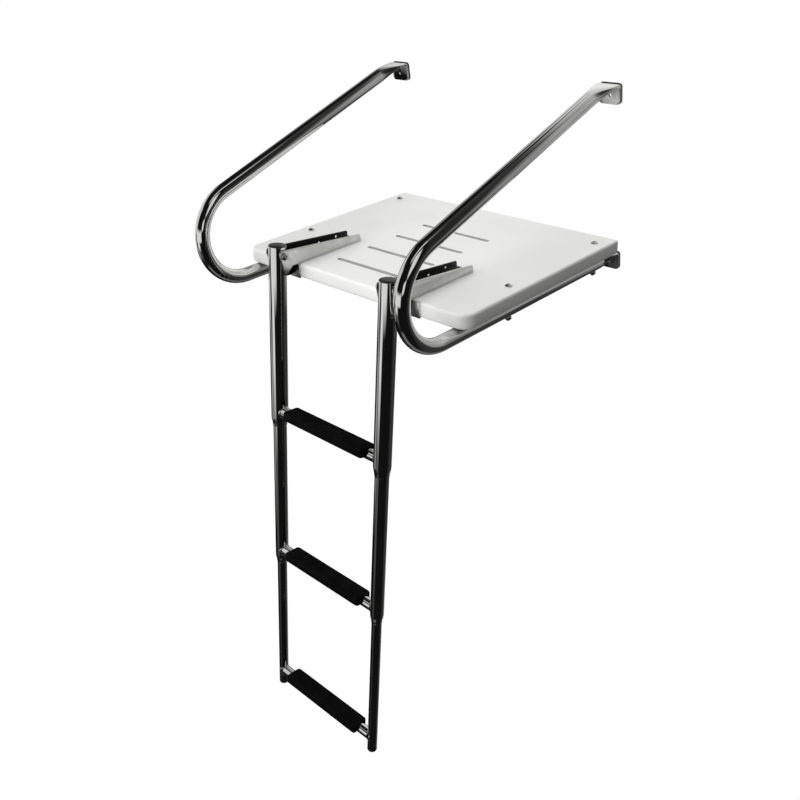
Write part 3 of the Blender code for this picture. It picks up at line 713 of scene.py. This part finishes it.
@dataclass
class Handrail:
    """A handrail tube whose flattened ends fold down into tabs, and the pads behind the tabs."""

    side: Side
    radius: float = 0.0127
    bend: float = 0.0829
    rise: float = math.radians(18.2)
    tube_rise: float = 0.005
    tab_gap: float = 0.0003
    tab_thick: float = 0.0035
    tab_corner: float = 0.006
    tab_power: float = 0.30
    pad_corner_steps: int = 8
    pad_edge: float = 0.0006
    pad_edge_steps: int = 2
    hole_radius: float = 0.0034
    hole_drop: float = 0.0035
    hole_reach: float = 0.03
    lower_flat: float = 0.045
    upper_flat: float = 0.070
    droop_length: float = 0.060
    flat_steps: int = 24
    fold_radius: float = 0.0050
    fold_steps: int = 8

    def build(self) -> None:
        """Makes the tube with its tabs, and the pads."""
        self.build_tube()
        for end in End:
            self.build_pad(end)

    def pad_node(self, end: End) -> str:
        """The name of the pad node of one end."""
        return f"{self.side.label}_{end.label}_foot_pad"

    def holes(self, ends: Iterable[End]) -> BMesh:
        """Makes the pins that the bolt holes of some ends are the print of.

        Args:
            ends: Which ends.

        Returns:
            The pins.
        """
        work = bmesh.new()
        for end in ends:
            low, high = box_in(self.pad_node(end), TRANSOM)
            middle = (low + high) / 2 - Vector((0, 0, self.hole_drop))
            place = TRANSOM @ Matrix.Translation(middle) @ Z_TO_FRONT
            rod(work, self.hole_radius, self.hole_reach, place, SMALL_STEPS)
        return work

    def build_pad(self, end: End) -> None:
        """Makes the pad behind the tab of one end.

        Args:
            end: Which end.
        """
        node = self.pad_node(end)
        work = bmesh.new()
        verts = block(work, *box_in(node, TRANSOM), TRANSOM)
        soften(work, edges_along(verts, TRANSOM_OUT), self.tab_corner, self.pad_corner_steps)
        soften(work, sharp_edges(work), self.pad_edge, self.pad_edge_steps)
        piece = add_piece(f"{node}_moulding", work, MOULDED_PLASTIC, PLATFORM, [node])
        carve(piece, self.holes([end]))

    def build_tube(self) -> None:
        """Draws the tube round its front bend and works both ends into tabs."""
        node = f"{self.side.label}_handrail"
        low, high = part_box(node)
        x = (low.x + high.x) / 2
        centre = Vector((x, low.y + self.radius + self.bend, self.tube_rise + self.bend))
        start = Vector((x, -self.lower_flat, self.tube_rise))
        run = Vector((0, math.cos(self.rise), math.sin(self.rise)))
        rise = RIGHTWARD.cross(run)
        work = bmesh.new()
        face = Matrix.Translation(start) @ Z_TO_FRONT
        bmesh.ops.create_circle(work, cap_ends=False, segments=ROUND_STEPS, radius=self.radius, matrix=face)
        first = work.edges[:]
        rim = push(work, first, Vector((0, centre.y - start.y, 0)))
        turned = bmesh.ops.spin(
            work, geom=rim + list(verts_of(rim)), cent=centre, axis=-RIGHTWARD,
            angle=math.pi - self.rise, steps=ROUND_STEPS,
        )["geom_last"]
        rim = [item for item in turned if isinstance(item, BMEdge)]
        top = centre + rise * self.bend
        reach = -top.dot(TRANSOM_OUT) / run.dot(TRANSOM_OUT) - self.upper_flat
        rim = push(work, rim, run * reach)
        last = top + run * reach
        self.sweep(work, rim, last, rise, self.end_stations(End.UPPER, last, run))
        self.sweep(work, first, start, UPWARD, self.end_stations(End.LOWER, start, BOATWARD))
        open_rims = [edge for edge in work.edges if len(edge.link_faces) < 2]
        bmesh.ops.holes_fill(work, edges=open_rims, sides=0)
        piece = add_piece(f"{node}_tube", work, POLISHED_TUBE, PLATFORM, [node])
        carve(piece, self.holes(End))

    def end_stations(self, end: End, start: Vector, run: Vector) -> list[Station]:
        """Plans how a round tube runs out flat, folds down and ends as a tab.

        Args:
            end: Which end.
            start: The middle of the round tube's last section.
            run: The way that the tube runs there.

        Returns:
            The sections after that one, in order.
        """
        low, high = box_in(self.pad_node(end), TRANSOM)
        thin = self.tab_thick / 2
        wide = (high.x - low.x) / 2
        plane = low.y - self.tab_gap - thin
        hinge = Vector((start.x, plane - self.fold_radius, high.z - thin - self.fold_radius))
        goal = TRANSOM @ (hinge + Vector((0, 0, self.fold_radius)))
        straight = max((goal - start).dot(run) - self.droop_length, 0)
        bent = (goal - start).length - straight
        knee = start + run * straight
        stations = []
        for step in range(1, self.flat_steps + 1):
            share = step / self.flat_steps
            ease = share * share * (3 - 2 * share)
            travel = share * (straight + bent)
            if travel < straight:
                middle, way = start + run * travel, run
            else:
                along = (travel - straight) / bent
                middle, way = self.curve(knee, run * bent, goal, TRANSOM_OUT * bent, along)
            lift = RIGHTWARD.cross(way).normalized()
            half_width = self.radius + (wide - self.radius) * ease
            half_height = self.radius + (thin - self.radius) * ease
            stations.append(Station(middle, lift, half_width, half_height, 1 + (self.tab_power - 1) * ease))
        for step in range(1, self.fold_steps + 1):
            angle = math.pi / 2 * step / self.fold_steps
            arm = TRANSOM_UP * math.cos(angle) + TRANSOM_OUT * math.sin(angle)
            middle = TRANSOM @ hinge + arm * self.fold_radius
            stations.append(Station(middle, arm, wide, thin, self.tab_power))
        for step in range(self.fold_steps + 1):
            angle = math.pi / 2 * step / self.fold_steps
            height = low.z + self.tab_corner * (1 - math.sin(angle))
            narrow = wide - self.tab_corner * (1 - math.cos(angle))
            middle = TRANSOM @ Vector((start.x, plane, height))
            stations.append(Station(middle, TRANSOM_OUT, narrow, thin, self.tab_power))
        return stations

    @staticmethod
    def curve(
        first: Vector, leave: Vector, last: Vector, arrive: Vector, share: float,
    ) -> tuple[Vector, Vector]:
        """Follows a smooth curve between two points.

        Args:
            first: The first point.
            leave: The tangent there.
            last: The last point.
            arrive: The tangent there.
            share: How far along, from 0 to 1.

        Returns:
            The place and the tangent there.
        """
        square, cube = share * share, share**3
        place = first * (2 * cube - 3 * square + 1) + leave * (cube - 2 * square + share)
        place += last * (3 * square - 2 * cube) + arrive * (cube - square)
        way = (last - first) * (6 * share - 6 * square)
        way += leave * (3 * square - 4 * share + 1) + arrive * (3 * square - 2 * share)
        return place, way

    @staticmethod
    def sweep(
        work: BMesh, rim: Sequence[BMEdge], middle: Vector, up: Vector, stations: Sequence[Station],
    ) -> None:
        """Carries a round rim on through some cross-sections.

        Args:
            work: The tube's bmesh.
            rim: The round rim.
            middle: The rim's middle.
            up: The rim's up.
            stations: The sections.
        """
        turns = {}
        for vert in verts_of(rim):
            spoke = (vert.co - middle).normalized()
            turns[vert] = (spoke.x, spoke.dot(up))
        for station in stations:
            rim = push(work, rim, Vector())
            later = {}
            for vert in verts_of(rim):
                others = (edge.other_vert(vert) for edge in vert.link_edges)
                later[vert] = next(turns[other] for other in others if other in turns)
                vert.co = station.point(*later[vert])
            turns = later


@dataclass
class HingeBracket:
    """A bent sheet channel with painted shade inside it, and the rubber stop on its lip."""

    side: Side
    sheet: float = 0.0025
    sheet_edge: float = 0.0004
    sheet_edge_steps: int = 2
    flat_angle: float = math.radians(0.5)
    edge_angle: float = math.radians(60)
    stop_round: float = 0.0015
    stop_shoulder: float = 0.3

    def build(self) -> None:
        """Makes the channel and the stop."""
        self.build_channel()
        self.build_stop()

    def build_channel(self) -> None:
        """Rounds the edges of the node's sheet and paints shade into its channel."""
        node = f"{self.side.label}_hinge_bracket"
        work = bmesh.new()
        work.from_mesh(frame["nodes"][node].data)
        bmesh.ops.remove_doubles(work, verts=work.verts, dist=WELD_DISTANCE)
        bmesh.ops.dissolve_limit(work, angle_limit=self.flat_angle, verts=work.verts, edges=work.edges)
        soften(work, sharp_edges(work, self.edge_angle), self.sheet_edge, self.sheet_edge_steps)
        self.paint_channel_shade(add_piece(f"{node}_sheet", work, SATIN_SHEET, PLATFORM, [node]))

    def paint_channel_shade(self, piece: Object) -> None:
        """Paints shade, as a near-black grey, on the faces of a bracket that look into its channel.

        Args:
            piece: The bracket's piece.
        """
        low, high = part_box(f"{self.side.label}_upper_rail")
        middle = (low.x + high.x) / 2
        half = (high.x - low.x) / 2 + self.sheet / 2
        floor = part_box("platform_board")[1].z + self.sheet / 2
        # The faces inside the channel take the near-black grey, which is painted shade.
        piece.data.materials.append(CHANNEL_PAINTED_SHADE.material())
        for face in piece.data.polygons:
            if abs(face.center.x - middle) < half and face.center.z > floor:
                face.material_index = 1

    def build_stop(self) -> None:
        """Spins the stop, whose front rim is round."""
        node = f"{self.side.label}_stop_bumper"
        low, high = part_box(node)
        radius, half = (high.z - low.z) / 2, (high.y - low.y) / 2
        edge = self.stop_round
        shoulder = edge * self.stop_shoulder
        profile = [(0, half), (radius - edge, half), (radius - shoulder, half - shoulder)]
        profile += [(radius, half - edge), (radius, -half), (0, -half)]
        work = bmesh.new()
        lathe(work, profile, Matrix.Translation((low + high) / 2) @ Z_TO_FRONT, SMALL_STEPS)
        add_piece(f"{node}_rubber", work, TREAD_RUBBER, PLATFORM, [node])


@dataclass
class LadderStage:
    """One stage: two rails, what closes their ends, a step tube, its welds and its tread.

    The cap's dome and the foot's nose are (share of the radius, distance from the tip) points.
    """

    stage: Stage
    wall: float = 0.0015
    swage_length: float = 0.018
    swage_draw: float = 0.0025
    swage_steps: int = 8
    neck_taper: float = 0.002
    rim_round: float = 0.0004
    cap_dome: Profile = ((0, 0), (0.55, 0.0001), (0.82, 0.0005), (0.95, 0.0013), (1, 0.0022))
    cap_height: float = 0.003
    cap_taper: float = 1.3
    foot_nose: Profile = ((0, 0), (0.45, 0.0001), (0.72, 0.0008), (0.90, 0.0022), (1, 0.0042))
    weld_radius: float = 0.0016
    weld_steps: int = 10
    tread_corner: float = 0.006
    tread_corner_steps: int = 6
    tread_edge: float = 0.0025
    tread_edge_steps: int = 4
    rib_count: int = 9
    rib_height: float = 0.0007
    rib_root: float = 0.001
    rib_margin: float = 0.004
    rib_half_share: float = 0.26
    rib_round_share: float = 0.6
    rib_round_steps: int = 2

    def build(self) -> None:
        """Makes the pieces of both sides and the step between them."""
        for side in Side:
            self.build_rail(side)
            if self.stage is Stage.UPPER:
                self.build_cap(side)
            else:
                dress(frame["nodes"][f"{side.label}_{self.stage.label}_glide"], SLIDE_NYLON)
            if self.stage is Stage.LOWER:
                self.build_foot(side)
        self.build_step()
        self.build_tread()

    @staticmethod
    def stand(node: str) -> tuple[Matrix, float, float, float]:
        """Finds how a round node stands along the ladder.

        Args:
            node: The node's name.

        Returns:
            A place on its axis, its radius, and the heights of its bottom and top there.
        """
        low, high = box_in(node, LADDER)
        place = LADDER @ Matrix.Translation(((low.x + high.x) / 2, 0, 0))
        return place, (high.x - low.x) / 2, low.z, high.z

    def build_rail(self, side: Side) -> None:
        """Spins a tube whose lower end is drawn in round the next tube.

        Args:
            side: The side.
        """
        node = f"{side.label}_{self.stage.label}_rail"
        place, radius, bottom, top = self.stand(node)
        inner = radius - self.wall
        rim = self.rim_round
        profile = [(inner, top), (radius - rim, top), (radius, top - rim)]
        if self.stage is Stage.LOWER:
            profile += [(radius, bottom + rim), (radius - rim, bottom), (inner, bottom)]
        else:
            profile += self.swage(radius, bottom)
        work = bmesh.new()
        lathe(work, profile, place, ring=True)
        add_piece(f"{node}_tube", work, POLISHED_TUBE, self.stage.body, [node])

    def swage(self, radius: float, bottom: float) -> Profile:
        """Outlines the drawn-in lower end of a rail.

        Args:
            radius: The rail's radius.
            bottom: The height of its bottom.

        Returns:
            The outline's points, down the outside and up the inside.
        """
        shoulder = bottom + self.swage_length
        inner = radius - self.wall
        neck = inner - self.wall
        profile = []
        for step in range(self.swage_steps + 1):
            share = step / self.swage_steps
            draw = self.swage_draw * (1 - math.cos(math.pi * share)) / 2
            profile.append((radius - draw, shoulder + (bottom + self.rim_round - shoulder) * share))
        profile += [(radius - self.swage_draw - self.rim_round / 2, bottom), (neck, bottom)]
        return profile + [(neck, shoulder), (inner, shoulder + self.neck_taper)]

    def build_cap(self, side: Side) -> None:
        """Spins the domed plug in the top of a rail.

        Args:
            side: The side.
        """
        node = f"{side.label}_rail_cap"
        place, radius, bottom, top = self.stand(node)
        seat = top - self.cap_height
        profile = [(radius * share, top - drop) for share, drop in self.cap_dome]
        profile += [(radius, seat), (radius - self.wall, seat)]
        profile += [(radius - self.wall * self.cap_taper, bottom), (0, bottom)]
        work = bmesh.new()
        lathe(work, profile, place)
        add_piece(f"{node}_plug", work, MOULDED_PLASTIC, self.stage.body, [node])

    def build_foot(self, side: Side) -> None:
        """Spins the round-nosed plug in the foot of a rail.

        Args:
            side: The side.
        """
        node = f"{side.label}_bottom_cap"
        place, radius, bottom, top = self.stand(node)
        _, _, seat, _ = self.stand(f"{side.label}_{self.stage.label}_rail")
        spigot = radius - self.wall
        profile = [(radius * share, bottom + rise) for share, rise in self.foot_nose]
        profile += [(radius, seat), (spigot, seat), (spigot, top), (0, top)]
        work = bmesh.new()
        lathe(work, profile, place)
        add_piece(f"{node}_plug", work, MOULDED_PLASTIC, self.stage.body, [node])

    def build_step(self) -> None:
        """Makes the step tube, which runs into both rails, and a weld bead round each end."""
        node = f"{self.stage.label}_step_tube"
        low, high = box_in(node, LADDER)
        rail_low, rail_high = box_in(f"right_{self.stage.label}_rail", LADDER)
        rail_x = (rail_low.x + rail_high.x) / 2
        rail_radius = (rail_high.x - rail_low.x) / 2
        radius = (high.z - low.z) / 2
        place = LADDER @ Matrix.Translation((0, 0, (low.z + high.z) / 2))
        reach = rail_x - rail_radius + self.wall
        work = bmesh.new()
        lathe(work, [(0, reach), (radius, reach), (radius, -reach), (0, -reach)], place @ Z_TO_RIGHT)
        add_piece(f"{node}_round", work, POLISHED_TUBE, self.stage.body, [node])
        beads = bmesh.new()
        for side in Side:
            self.weld(beads, side, rail_x, rail_radius, radius)
        bmesh.ops.transform(beads, matrix=place, verts=beads.verts)
        add_piece(f"{self.stage.label}_step_welds", beads, TURNED_STEEL, self.stage.body)

    def weld(self, work: BMesh, side: Side, rail_x: float, rail_radius: float, radius: float) -> None:
        """Lays a bead round a step tube where it meets the curve of a rail.

        Args:
            work: The bmesh that takes the bead.
            side: The rail's side.
            rail_x: How far the rail stands from the middle.
            rail_radius: The rail's radius.
            radius: The step tube's radius.
        """
        before = set(work.verts)
        angles = [2 * math.pi * step / self.weld_steps for step in range(self.weld_steps)]
        bead = self.weld_radius
        section = [(radius + bead * math.cos(angle), bead * math.sin(angle)) for angle in angles]
        lathe(work, section, Z_TO_RIGHT, ring=True)
        for vert in set(work.verts) - before:
            across = min(abs(vert.co.y), rail_radius)
            vert.co.x += side.value * (rail_x - math.sqrt(rail_radius**2 - across**2))

    def build_tread(self) -> None:
        """Moulds the tread: a slab with round corners and low ribs along it."""
        node = f"{self.stage.label}_tread"
        low, high = box_in(node, LADDER)
        work = bmesh.new()
        deck = high.z - self.rib_height
        verts = block(work, low, Vector((high.x, high.y, deck)))
        soften(work, edges_along(verts, UPWARD), self.tread_corner, self.tread_corner_steps)
        soften(work, sharp_edges(work), self.tread_edge, self.tread_edge_steps)
        first = low.y + self.rib_margin
        pitch = (high.y - low.y - 2 * self.rib_margin) / (self.rib_count - 1)
        half = pitch * self.rib_half_share
        end = high.x - self.rib_margin
        for index in range(self.rib_count):
            y = first + pitch * index
            root = Vector((-end, y - half, deck - self.rib_root))
            rib = block(work, root, Vector((end, y + half, high.z)))
            crest = edges_along(rib, RIGHTWARD, lambda place: place.z > deck)
            soften(work, crest, half * self.rib_round_share, self.rib_round_steps)
        bmesh.ops.transform(work, matrix=LADDER, verts=work.verts)
        add_piece(f"{node}_moulding", work, TREAD_RUBBER, self.stage.body, [node])


Levels = tuple[Axis, Stops]
HALF_TURN = 180


def band(axis: Axis, start: float, full: float, fade: float, end: float, level: float = 1.0) -> Levels:
    """A light that begins, is full, begins to fall and ends at four places on an axis, from -1 to 1."""
    return axis, ((-1.0, 0.0), (start, 0.0), (full, level), (fade, level), (end, 0.0))


def bearings(*stops: tuple[float, float]) -> Levels:
    """Levels of a light by compass degrees, which count from straight in front to the right."""
    return Axis.COMPASS, [(degrees / HALF_TURN, level) for degrees, level in stops]


def arc(*degrees: float) -> Levels:
    """A light that begins, is full, begins to fall and ends at four compass degrees."""
    return band(Axis.COMPASS, *(degree / HALF_TURN for degree in degrees))


# Each light on the room's walls is the product of its levels along one to three axes.
DARK_WALLS = (bearings((-180, 0.008), (100, 0.008), (130, 0.05), (180, 0.05)),)
FRONT_BOX = (
    arc(-37, -31, -9, -1),
    (
        Axis.Z,
        (
            (-0.75, 0.015), (-0.62, 0.05), (-0.53, 0.10), (-0.42, 0.13), (-0.34, 0.60), (-0.27, 1.0),
            (0.10, 1.0), (0.22, 0.0),
        ),
    ),
)
FRONT_CROWN = (arc(-46, -40, 22, 34), band(Axis.Z, -0.20, -0.13, 0.10, 0.20))
LEFT_LOW = (
    arc(-72, -62, -44, -38),
    (Axis.Z, ((-1.0, 0.0), (-0.56, 0.0), (-0.46, 0.38), (-0.30, 0.42), (-0.22, 0.0))),
)
LEFT_LINK = (arc(-66, -60, -42, -36), band(Axis.Z, -0.05, 0.05, 0.55, 0.65, level=0.9))
LEFT_BOX = (arc(-104, -96, -65, -57), band(Axis.Z, -0.33, -0.25, 0.55, 0.65, level=0.9))
RIGHT_LINK = (arc(30, 38, 50, 58), band(Axis.Z, 0.06, 0.12, 0.32, 0.40))
RIGHT_BOX = (arc(50, 58, 82, 92), band(Axis.Z, 0.30, 0.40, 0.78, 0.85))
BACK_RIGHT = (
    bearings((-180, 0.0), (118, 0.0), (124, 0.3), (129, 0.75), (134, 1.0)),
    (Axis.Z, ((-0.30, 0.0), (-0.16, 0.35), (0.18, 0.5), (0.32, 0.62), (0.58, 0.62), (0.68, 0.0))),
)
BACK_RIGHT_CROWN = (
    bearings((-180, 0.0), (129, 0.0), (135, 1.0), (180, 1.0)),
    band(Axis.Z, 0.45, 0.55, 0.76, 0.86, level=0.64),
)
BACK_LEFT = (
    bearings((-180, 1.0), (-138, 1.0), (-132, 0.55), (-126, 0.42), (-117, 0.36), (-110, 0.15), (-104, 0.0)),
    (Axis.Z, ((-1.0, 0.0), (-0.12, 0.0), (0.02, 0.8), (0.08, 1.0), (0.60, 1.0), (0.74, 0.0))),
)
BACK_CROWN = (
    bearings((-180, 1.0), (-148, 1.0), (-142, 0.0), (140, 0.0), (148, 1.0)),
    band(Axis.Z, 0.55, 0.65, 0.86, 0.91, level=0.9),
)
BACK_LOW = (
    bearings((-180, 1.0), (-152, 1.0), (-144, 0.0), (140, 0.0), (150, 1.0)),
    band(Axis.Z, -0.48, -0.34, 0.40, 0.50, level=0.5),
)
BACK_LOW_LEFT = (
    arc(-166, -158, -140, -131),
    (Axis.Z, ((-1.0, 0.0), (-0.78, 0.0), (-0.66, 0.54), (-0.34, 0.62), (-0.24, 0.0))),
)
FLOOR_SPOT = (
    band(Axis.X, -0.30, -0.20, 0.15, 0.25),
    (Axis.Y, ((-1.0, 0.0), (-0.66, 0.0), (-0.56, 1.0))),
    (Axis.Z, ((-1.0, 0.2), (-0.80, 0.2), (-0.66, 0.0))),
)
OVERHEAD = (
    band(Axis.X, 0.18, 0.24, 0.36, 0.42, level=0.8),
    band(Axis.Y, -0.55, -0.45, 0.10, 0.22),
    (Axis.Z, ((-1.0, 0.0), (0.50, 0.0), (0.60, 1.0))),
)
ROOM_LIGHTS = (
    DARK_WALLS, FRONT_BOX, FRONT_CROWN, LEFT_LOW, LEFT_LINK, LEFT_BOX, RIGHT_LINK, RIGHT_BOX, BACK_RIGHT,
    BACK_RIGHT_CROWN, BACK_LEFT, BACK_CROWN, BACK_LOW, BACK_LOW_LEFT, FLOOR_SPOT, OVERHEAD,
)
SKY_ACROSS: Stops = ((-1.0, 1.0), (0.25, 1.0), (0.60, 0.03), (1.0, 0.03))
SKY_UP: Stops = ((-1.0, 0.5), (-0.10, 0.5), (0.15, 0.75), (0.50, 1.0))


def ramp(tree: NodeTree, value: NodeSocket, reach: float, stops: Stops) -> NodeSocket:
    """Turns a value between minus and plus a reach into grey, by stops from -1 to 1.

    Args:
        tree: The tree that takes the nodes.
        value: The value.
        reach: The value's reach.
        stops: Shares of the reach, each with a grey level.

    Returns:
        The grey.
    """
    share = tree.nodes.new("ShaderNodeMapRange")
    set_inputs(share, {"From Min": -reach, "From Max": reach})
    grey = tree.nodes.new("ShaderNodeValToRGB")
    elements = grey.color_ramp.elements
    elements.remove(elements[-1])
    for index, (place, level) in enumerate(stops):
        stop = elements[0] if index == 0 else elements.new((place + 1) / 2)
        stop.position = (place + 1) / 2
        stop.color = (level, level, level, 1)
    tree.links.new(value, share.inputs["Value"])
    wire(share, "Result", grey, "Fac")
    return grey.outputs["Color"]


def blend(tree: NodeTree, greys: Sequence[NodeSocket], how: Blend) -> NodeSocket:
    """Blends greys one after the other.

    Args:
        tree: The tree that takes the nodes.
        greys: The greys.
        how: The blend's kind.

    Returns:
        The blended grey.
    """
    result = greys[0]
    for grey in greys[1:]:
        both = tree.nodes.new("ShaderNodeMix")
        both.data_type = "RGBA"
        both.blend_type = how.value
        set_inputs(both, {"Factor": 1})
        tree.links.new(result, both.inputs["A"])
        tree.links.new(grey, both.inputs["B"])
        result = both.outputs["Result"]
    return result


def reckon(tree: NodeTree, operation: str, first: NodeSocket, second: NodeSocket) -> NodeSocket:
    """Works one value out of two.

    Args:
        tree: The tree that takes the node.
        operation: The math node's operation.
        first: The first value.
        second: The second value.

    Returns:
        The result.
    """
    worked = tree.nodes.new("ShaderNodeMath")
    worked.operation = operation
    tree.links.new(first, worked.inputs[0])
    tree.links.new(second, worked.inputs[1])
    return worked.outputs["Value"]


@dataclass(frozen=True)
class Lamp:
    """A soft square lamp that polished steel doesn't show."""

    name: str
    place: Vector
    size: float
    power: float

    def hang(self, aim: Vector) -> None:
        """Hangs the lamp so that it faces a point.

        Args:
            aim: The point.
        """
        data = bpy.data.lights.new(self.name, "AREA")
        data.energy = self.power
        data.size = self.size
        lamp = add_object(self.name, data)
        turn = (aim - self.place).to_track_quat("-Z", "Y").to_matrix().to_4x4()
        lamp.matrix_world = Matrix.Translation(self.place) @ turn
        lamp.visible_glossy = False


@dataclass
class Studio:
    """Camera, lamp, white surround, and the dark walls that the polished steel shows."""

    focal: float = 40.106
    sensor: float = 36.0
    eye: Vector = Vector((1.0545, -1.3734, 0.5922))
    forward: Vector = Vector((-0.6196, 0.6140, -0.4889))
    up: Vector = Vector((-0.3061, 0.3846, 0.8709))
    aim: Vector = Vector((0.0, -0.3, -0.05))
    key: Lamp = Lamp("key", place=Vector((-0.20, -3.15, 1.25)), size=2.8, power=60.0)
    fill: float = 1.12
    floor_drop: float = 0.30
    floor_size: float = 40.0
    floor_grey: float = 0.8
    floor_rough: float = 0.9
    room_radius: float = 3.0
    room_segments: int = 48

    def build(self) -> None:
        """Sets up everything that is not the ladder."""
        bpy.context.scene.view_settings.view_transform = "Standard"
        self.add_camera()
        self.add_world()
        self.add_floor()
        self.add_room()
        self.key.hang(self.aim)

    def add_camera(self) -> None:
        """Puts the camera where the photograph was taken from."""
        data = bpy.data.cameras.new("camera")
        data.lens = self.focal
        data.sensor_width = self.sensor
        camera = add_object("camera", data)
        right = self.forward.cross(self.up).normalized()
        up = right.cross(self.forward).normalized()
        turn = Matrix((right, up, -self.forward.normalized())).transposed()
        camera.matrix_world = Matrix.Translation(self.eye) @ turn.to_4x4()
        bpy.context.scene.camera = camera

    def add_world(self) -> None:
        """Makes a world that is white to look at and lights the part, least from the right and below."""
        world = bpy.data.worlds.new("studio")
        bpy.context.scene.world = world
        world.use_nodes = True
        tree = world.node_tree
        tree.nodes.clear()
        rays = tree.nodes.new("ShaderNodeLightPath").outputs
        seen = reckon(tree, "MAXIMUM", rays["Is Camera Ray"], rays["Is Glossy Ray"])
        shown = reckon(tree, "MAXIMUM", seen, rays["Is Transmission Ray"])
        level = tree.nodes.new("ShaderNodeMapRange")
        set_inputs(level, {"To Min": self.fill, "To Max": 1.0})
        split = tree.nodes.new("ShaderNodeSeparateXYZ")
        across = ramp(tree, split.outputs["X"], 1.0, SKY_ACROSS)
        upward = ramp(tree, split.outputs["Z"], 1.0, SKY_UP)
        colour = tree.nodes.new("ShaderNodeMixRGB")
        set_inputs(colour, {"Color2": (1, 1, 1, 1)})
        light = tree.nodes.new("ShaderNodeBackground")
        wire(tree.nodes.new("ShaderNodeTexCoord"), "Generated", split, "Vector")
        tree.links.new(shown, colour.inputs["Fac"])
        tree.links.new(blend(tree, [across, upward], Blend.MULTIPLY), colour.inputs["Color1"])
        tree.links.new(shown, level.inputs["Value"])
        wire(colour, "Color", light, "Color")
        wire(level, "Result", light, "Strength")
        wire(light, "Background", tree.nodes.new("ShaderNodeOutputWorld"), "Surface")

    def add_floor(self) -> None:
        """Lays a pale floor below the ladder that looks white from the camera."""
        work = bmesh.new()
        place = Matrix.Translation((0, 0, CAD_BOX[0][2] - self.floor_drop))
        bmesh.ops.create_grid(work, x_segments=1, y_segments=1, size=self.floor_size / 2, matrix=place)
        floor = add_object("floor", finished_mesh("floor", work))
        paint = bpy.data.materials.new("pale_floor")
        paint.use_nodes = True
        nodes = paint.node_tree.nodes
        shader = nodes["Principled BSDF"]
        grey = (self.floor_grey, self.floor_grey, self.floor_grey, 1)
        set_inputs(shader, {"Base Color": grey, "Roughness": self.floor_rough})
        both = nodes.new("ShaderNodeMixShader")
        wire(nodes.new("ShaderNodeLightPath"), "Is Camera Ray", both, "Fac")
        wire(shader, "BSDF", both, 1)
        wire(nodes.new("ShaderNodeEmission"), "Emission", both, 2)
        wire(both, "Shader", nodes["Material Output"], "Surface")
        floor.data.materials.append(paint)
        floor.visible_glossy = False
        floor.visible_diffuse = False

    def add_room(self) -> None:
        """Surrounds the part with dark walls and soft lights that only reflections show."""
        work = bmesh.new()
        bmesh.ops.create_uvsphere(
            work, u_segments=self.room_segments, v_segments=self.room_segments // 2,
            radius=self.room_radius, matrix=Matrix.Translation(self.aim),
        )
        bmesh.ops.reverse_faces(work, faces=work.faces)
        room = add_object("dark_room", finished_mesh("dark_room", work))
        room.data.materials.append(self.room_paint())
        room.visible_camera = False
        room.visible_diffuse = False
        room.visible_shadow = False
        room.visible_transmission = False

    def room_paint(self) -> Material:
        """Paints the room's walls dark and its lights on them.

        Returns:
            The room's material.
        """
        paint = bpy.data.materials.new("room_paint")
        paint.use_nodes = True
        tree = paint.node_tree
        tree.nodes.clear()
        offset = tree.nodes.new("ShaderNodeVectorMath")
        offset.operation = "SUBTRACT"
        offset.inputs[1].default_value = self.aim
        wire(tree.nodes.new("ShaderNodeTexCoord"), "Object", offset, 0)
        split = tree.nodes.new("ShaderNodeSeparateXYZ")
        wire(offset, "Vector", split, "Vector")
        frontward = tree.nodes.new("ShaderNodeMath")
        frontward.operation = "MULTIPLY"
        frontward.inputs[1].default_value = -1
        wire(split, "Y", frontward, 0)
        compass = reckon(tree, "ARCTAN2", split.outputs["X"], frontward.outputs["Value"])
        values = {Axis.COMPASS: (compass, math.pi)}
        for axis in (Axis.X, Axis.Y, Axis.Z):
            values[axis] = (split.outputs[axis.value], self.room_radius)
        lights = [
            blend(tree, [ramp(tree, *values[axis], stops) for axis, stops in light], Blend.MULTIPLY)
            for light in ROOM_LIGHTS
        ]
        glow = tree.nodes.new("ShaderNodeEmission")
        tree.links.new(blend(tree, lights, Blend.LIGHTEN), glow.inputs["Color"])
        wire(glow, "Emission", tree.nodes.new("ShaderNodeOutputMaterial"), "Surface")
        return paint


def main() -> None:
    """Builds the ladder's pieces in order, then the studio."""
    logging.basicConfig(level=logging.INFO, format="%(name)s: %(message)s")
    Board().build()
    for side in Side:
        Handrail(side).build()
        HingeBracket(side).build()
        Bolts().build(side)
    for stage in Stage:
        LadderStage(stage).build()
    Studio().build()


if __name__ == "__main__":
    main()
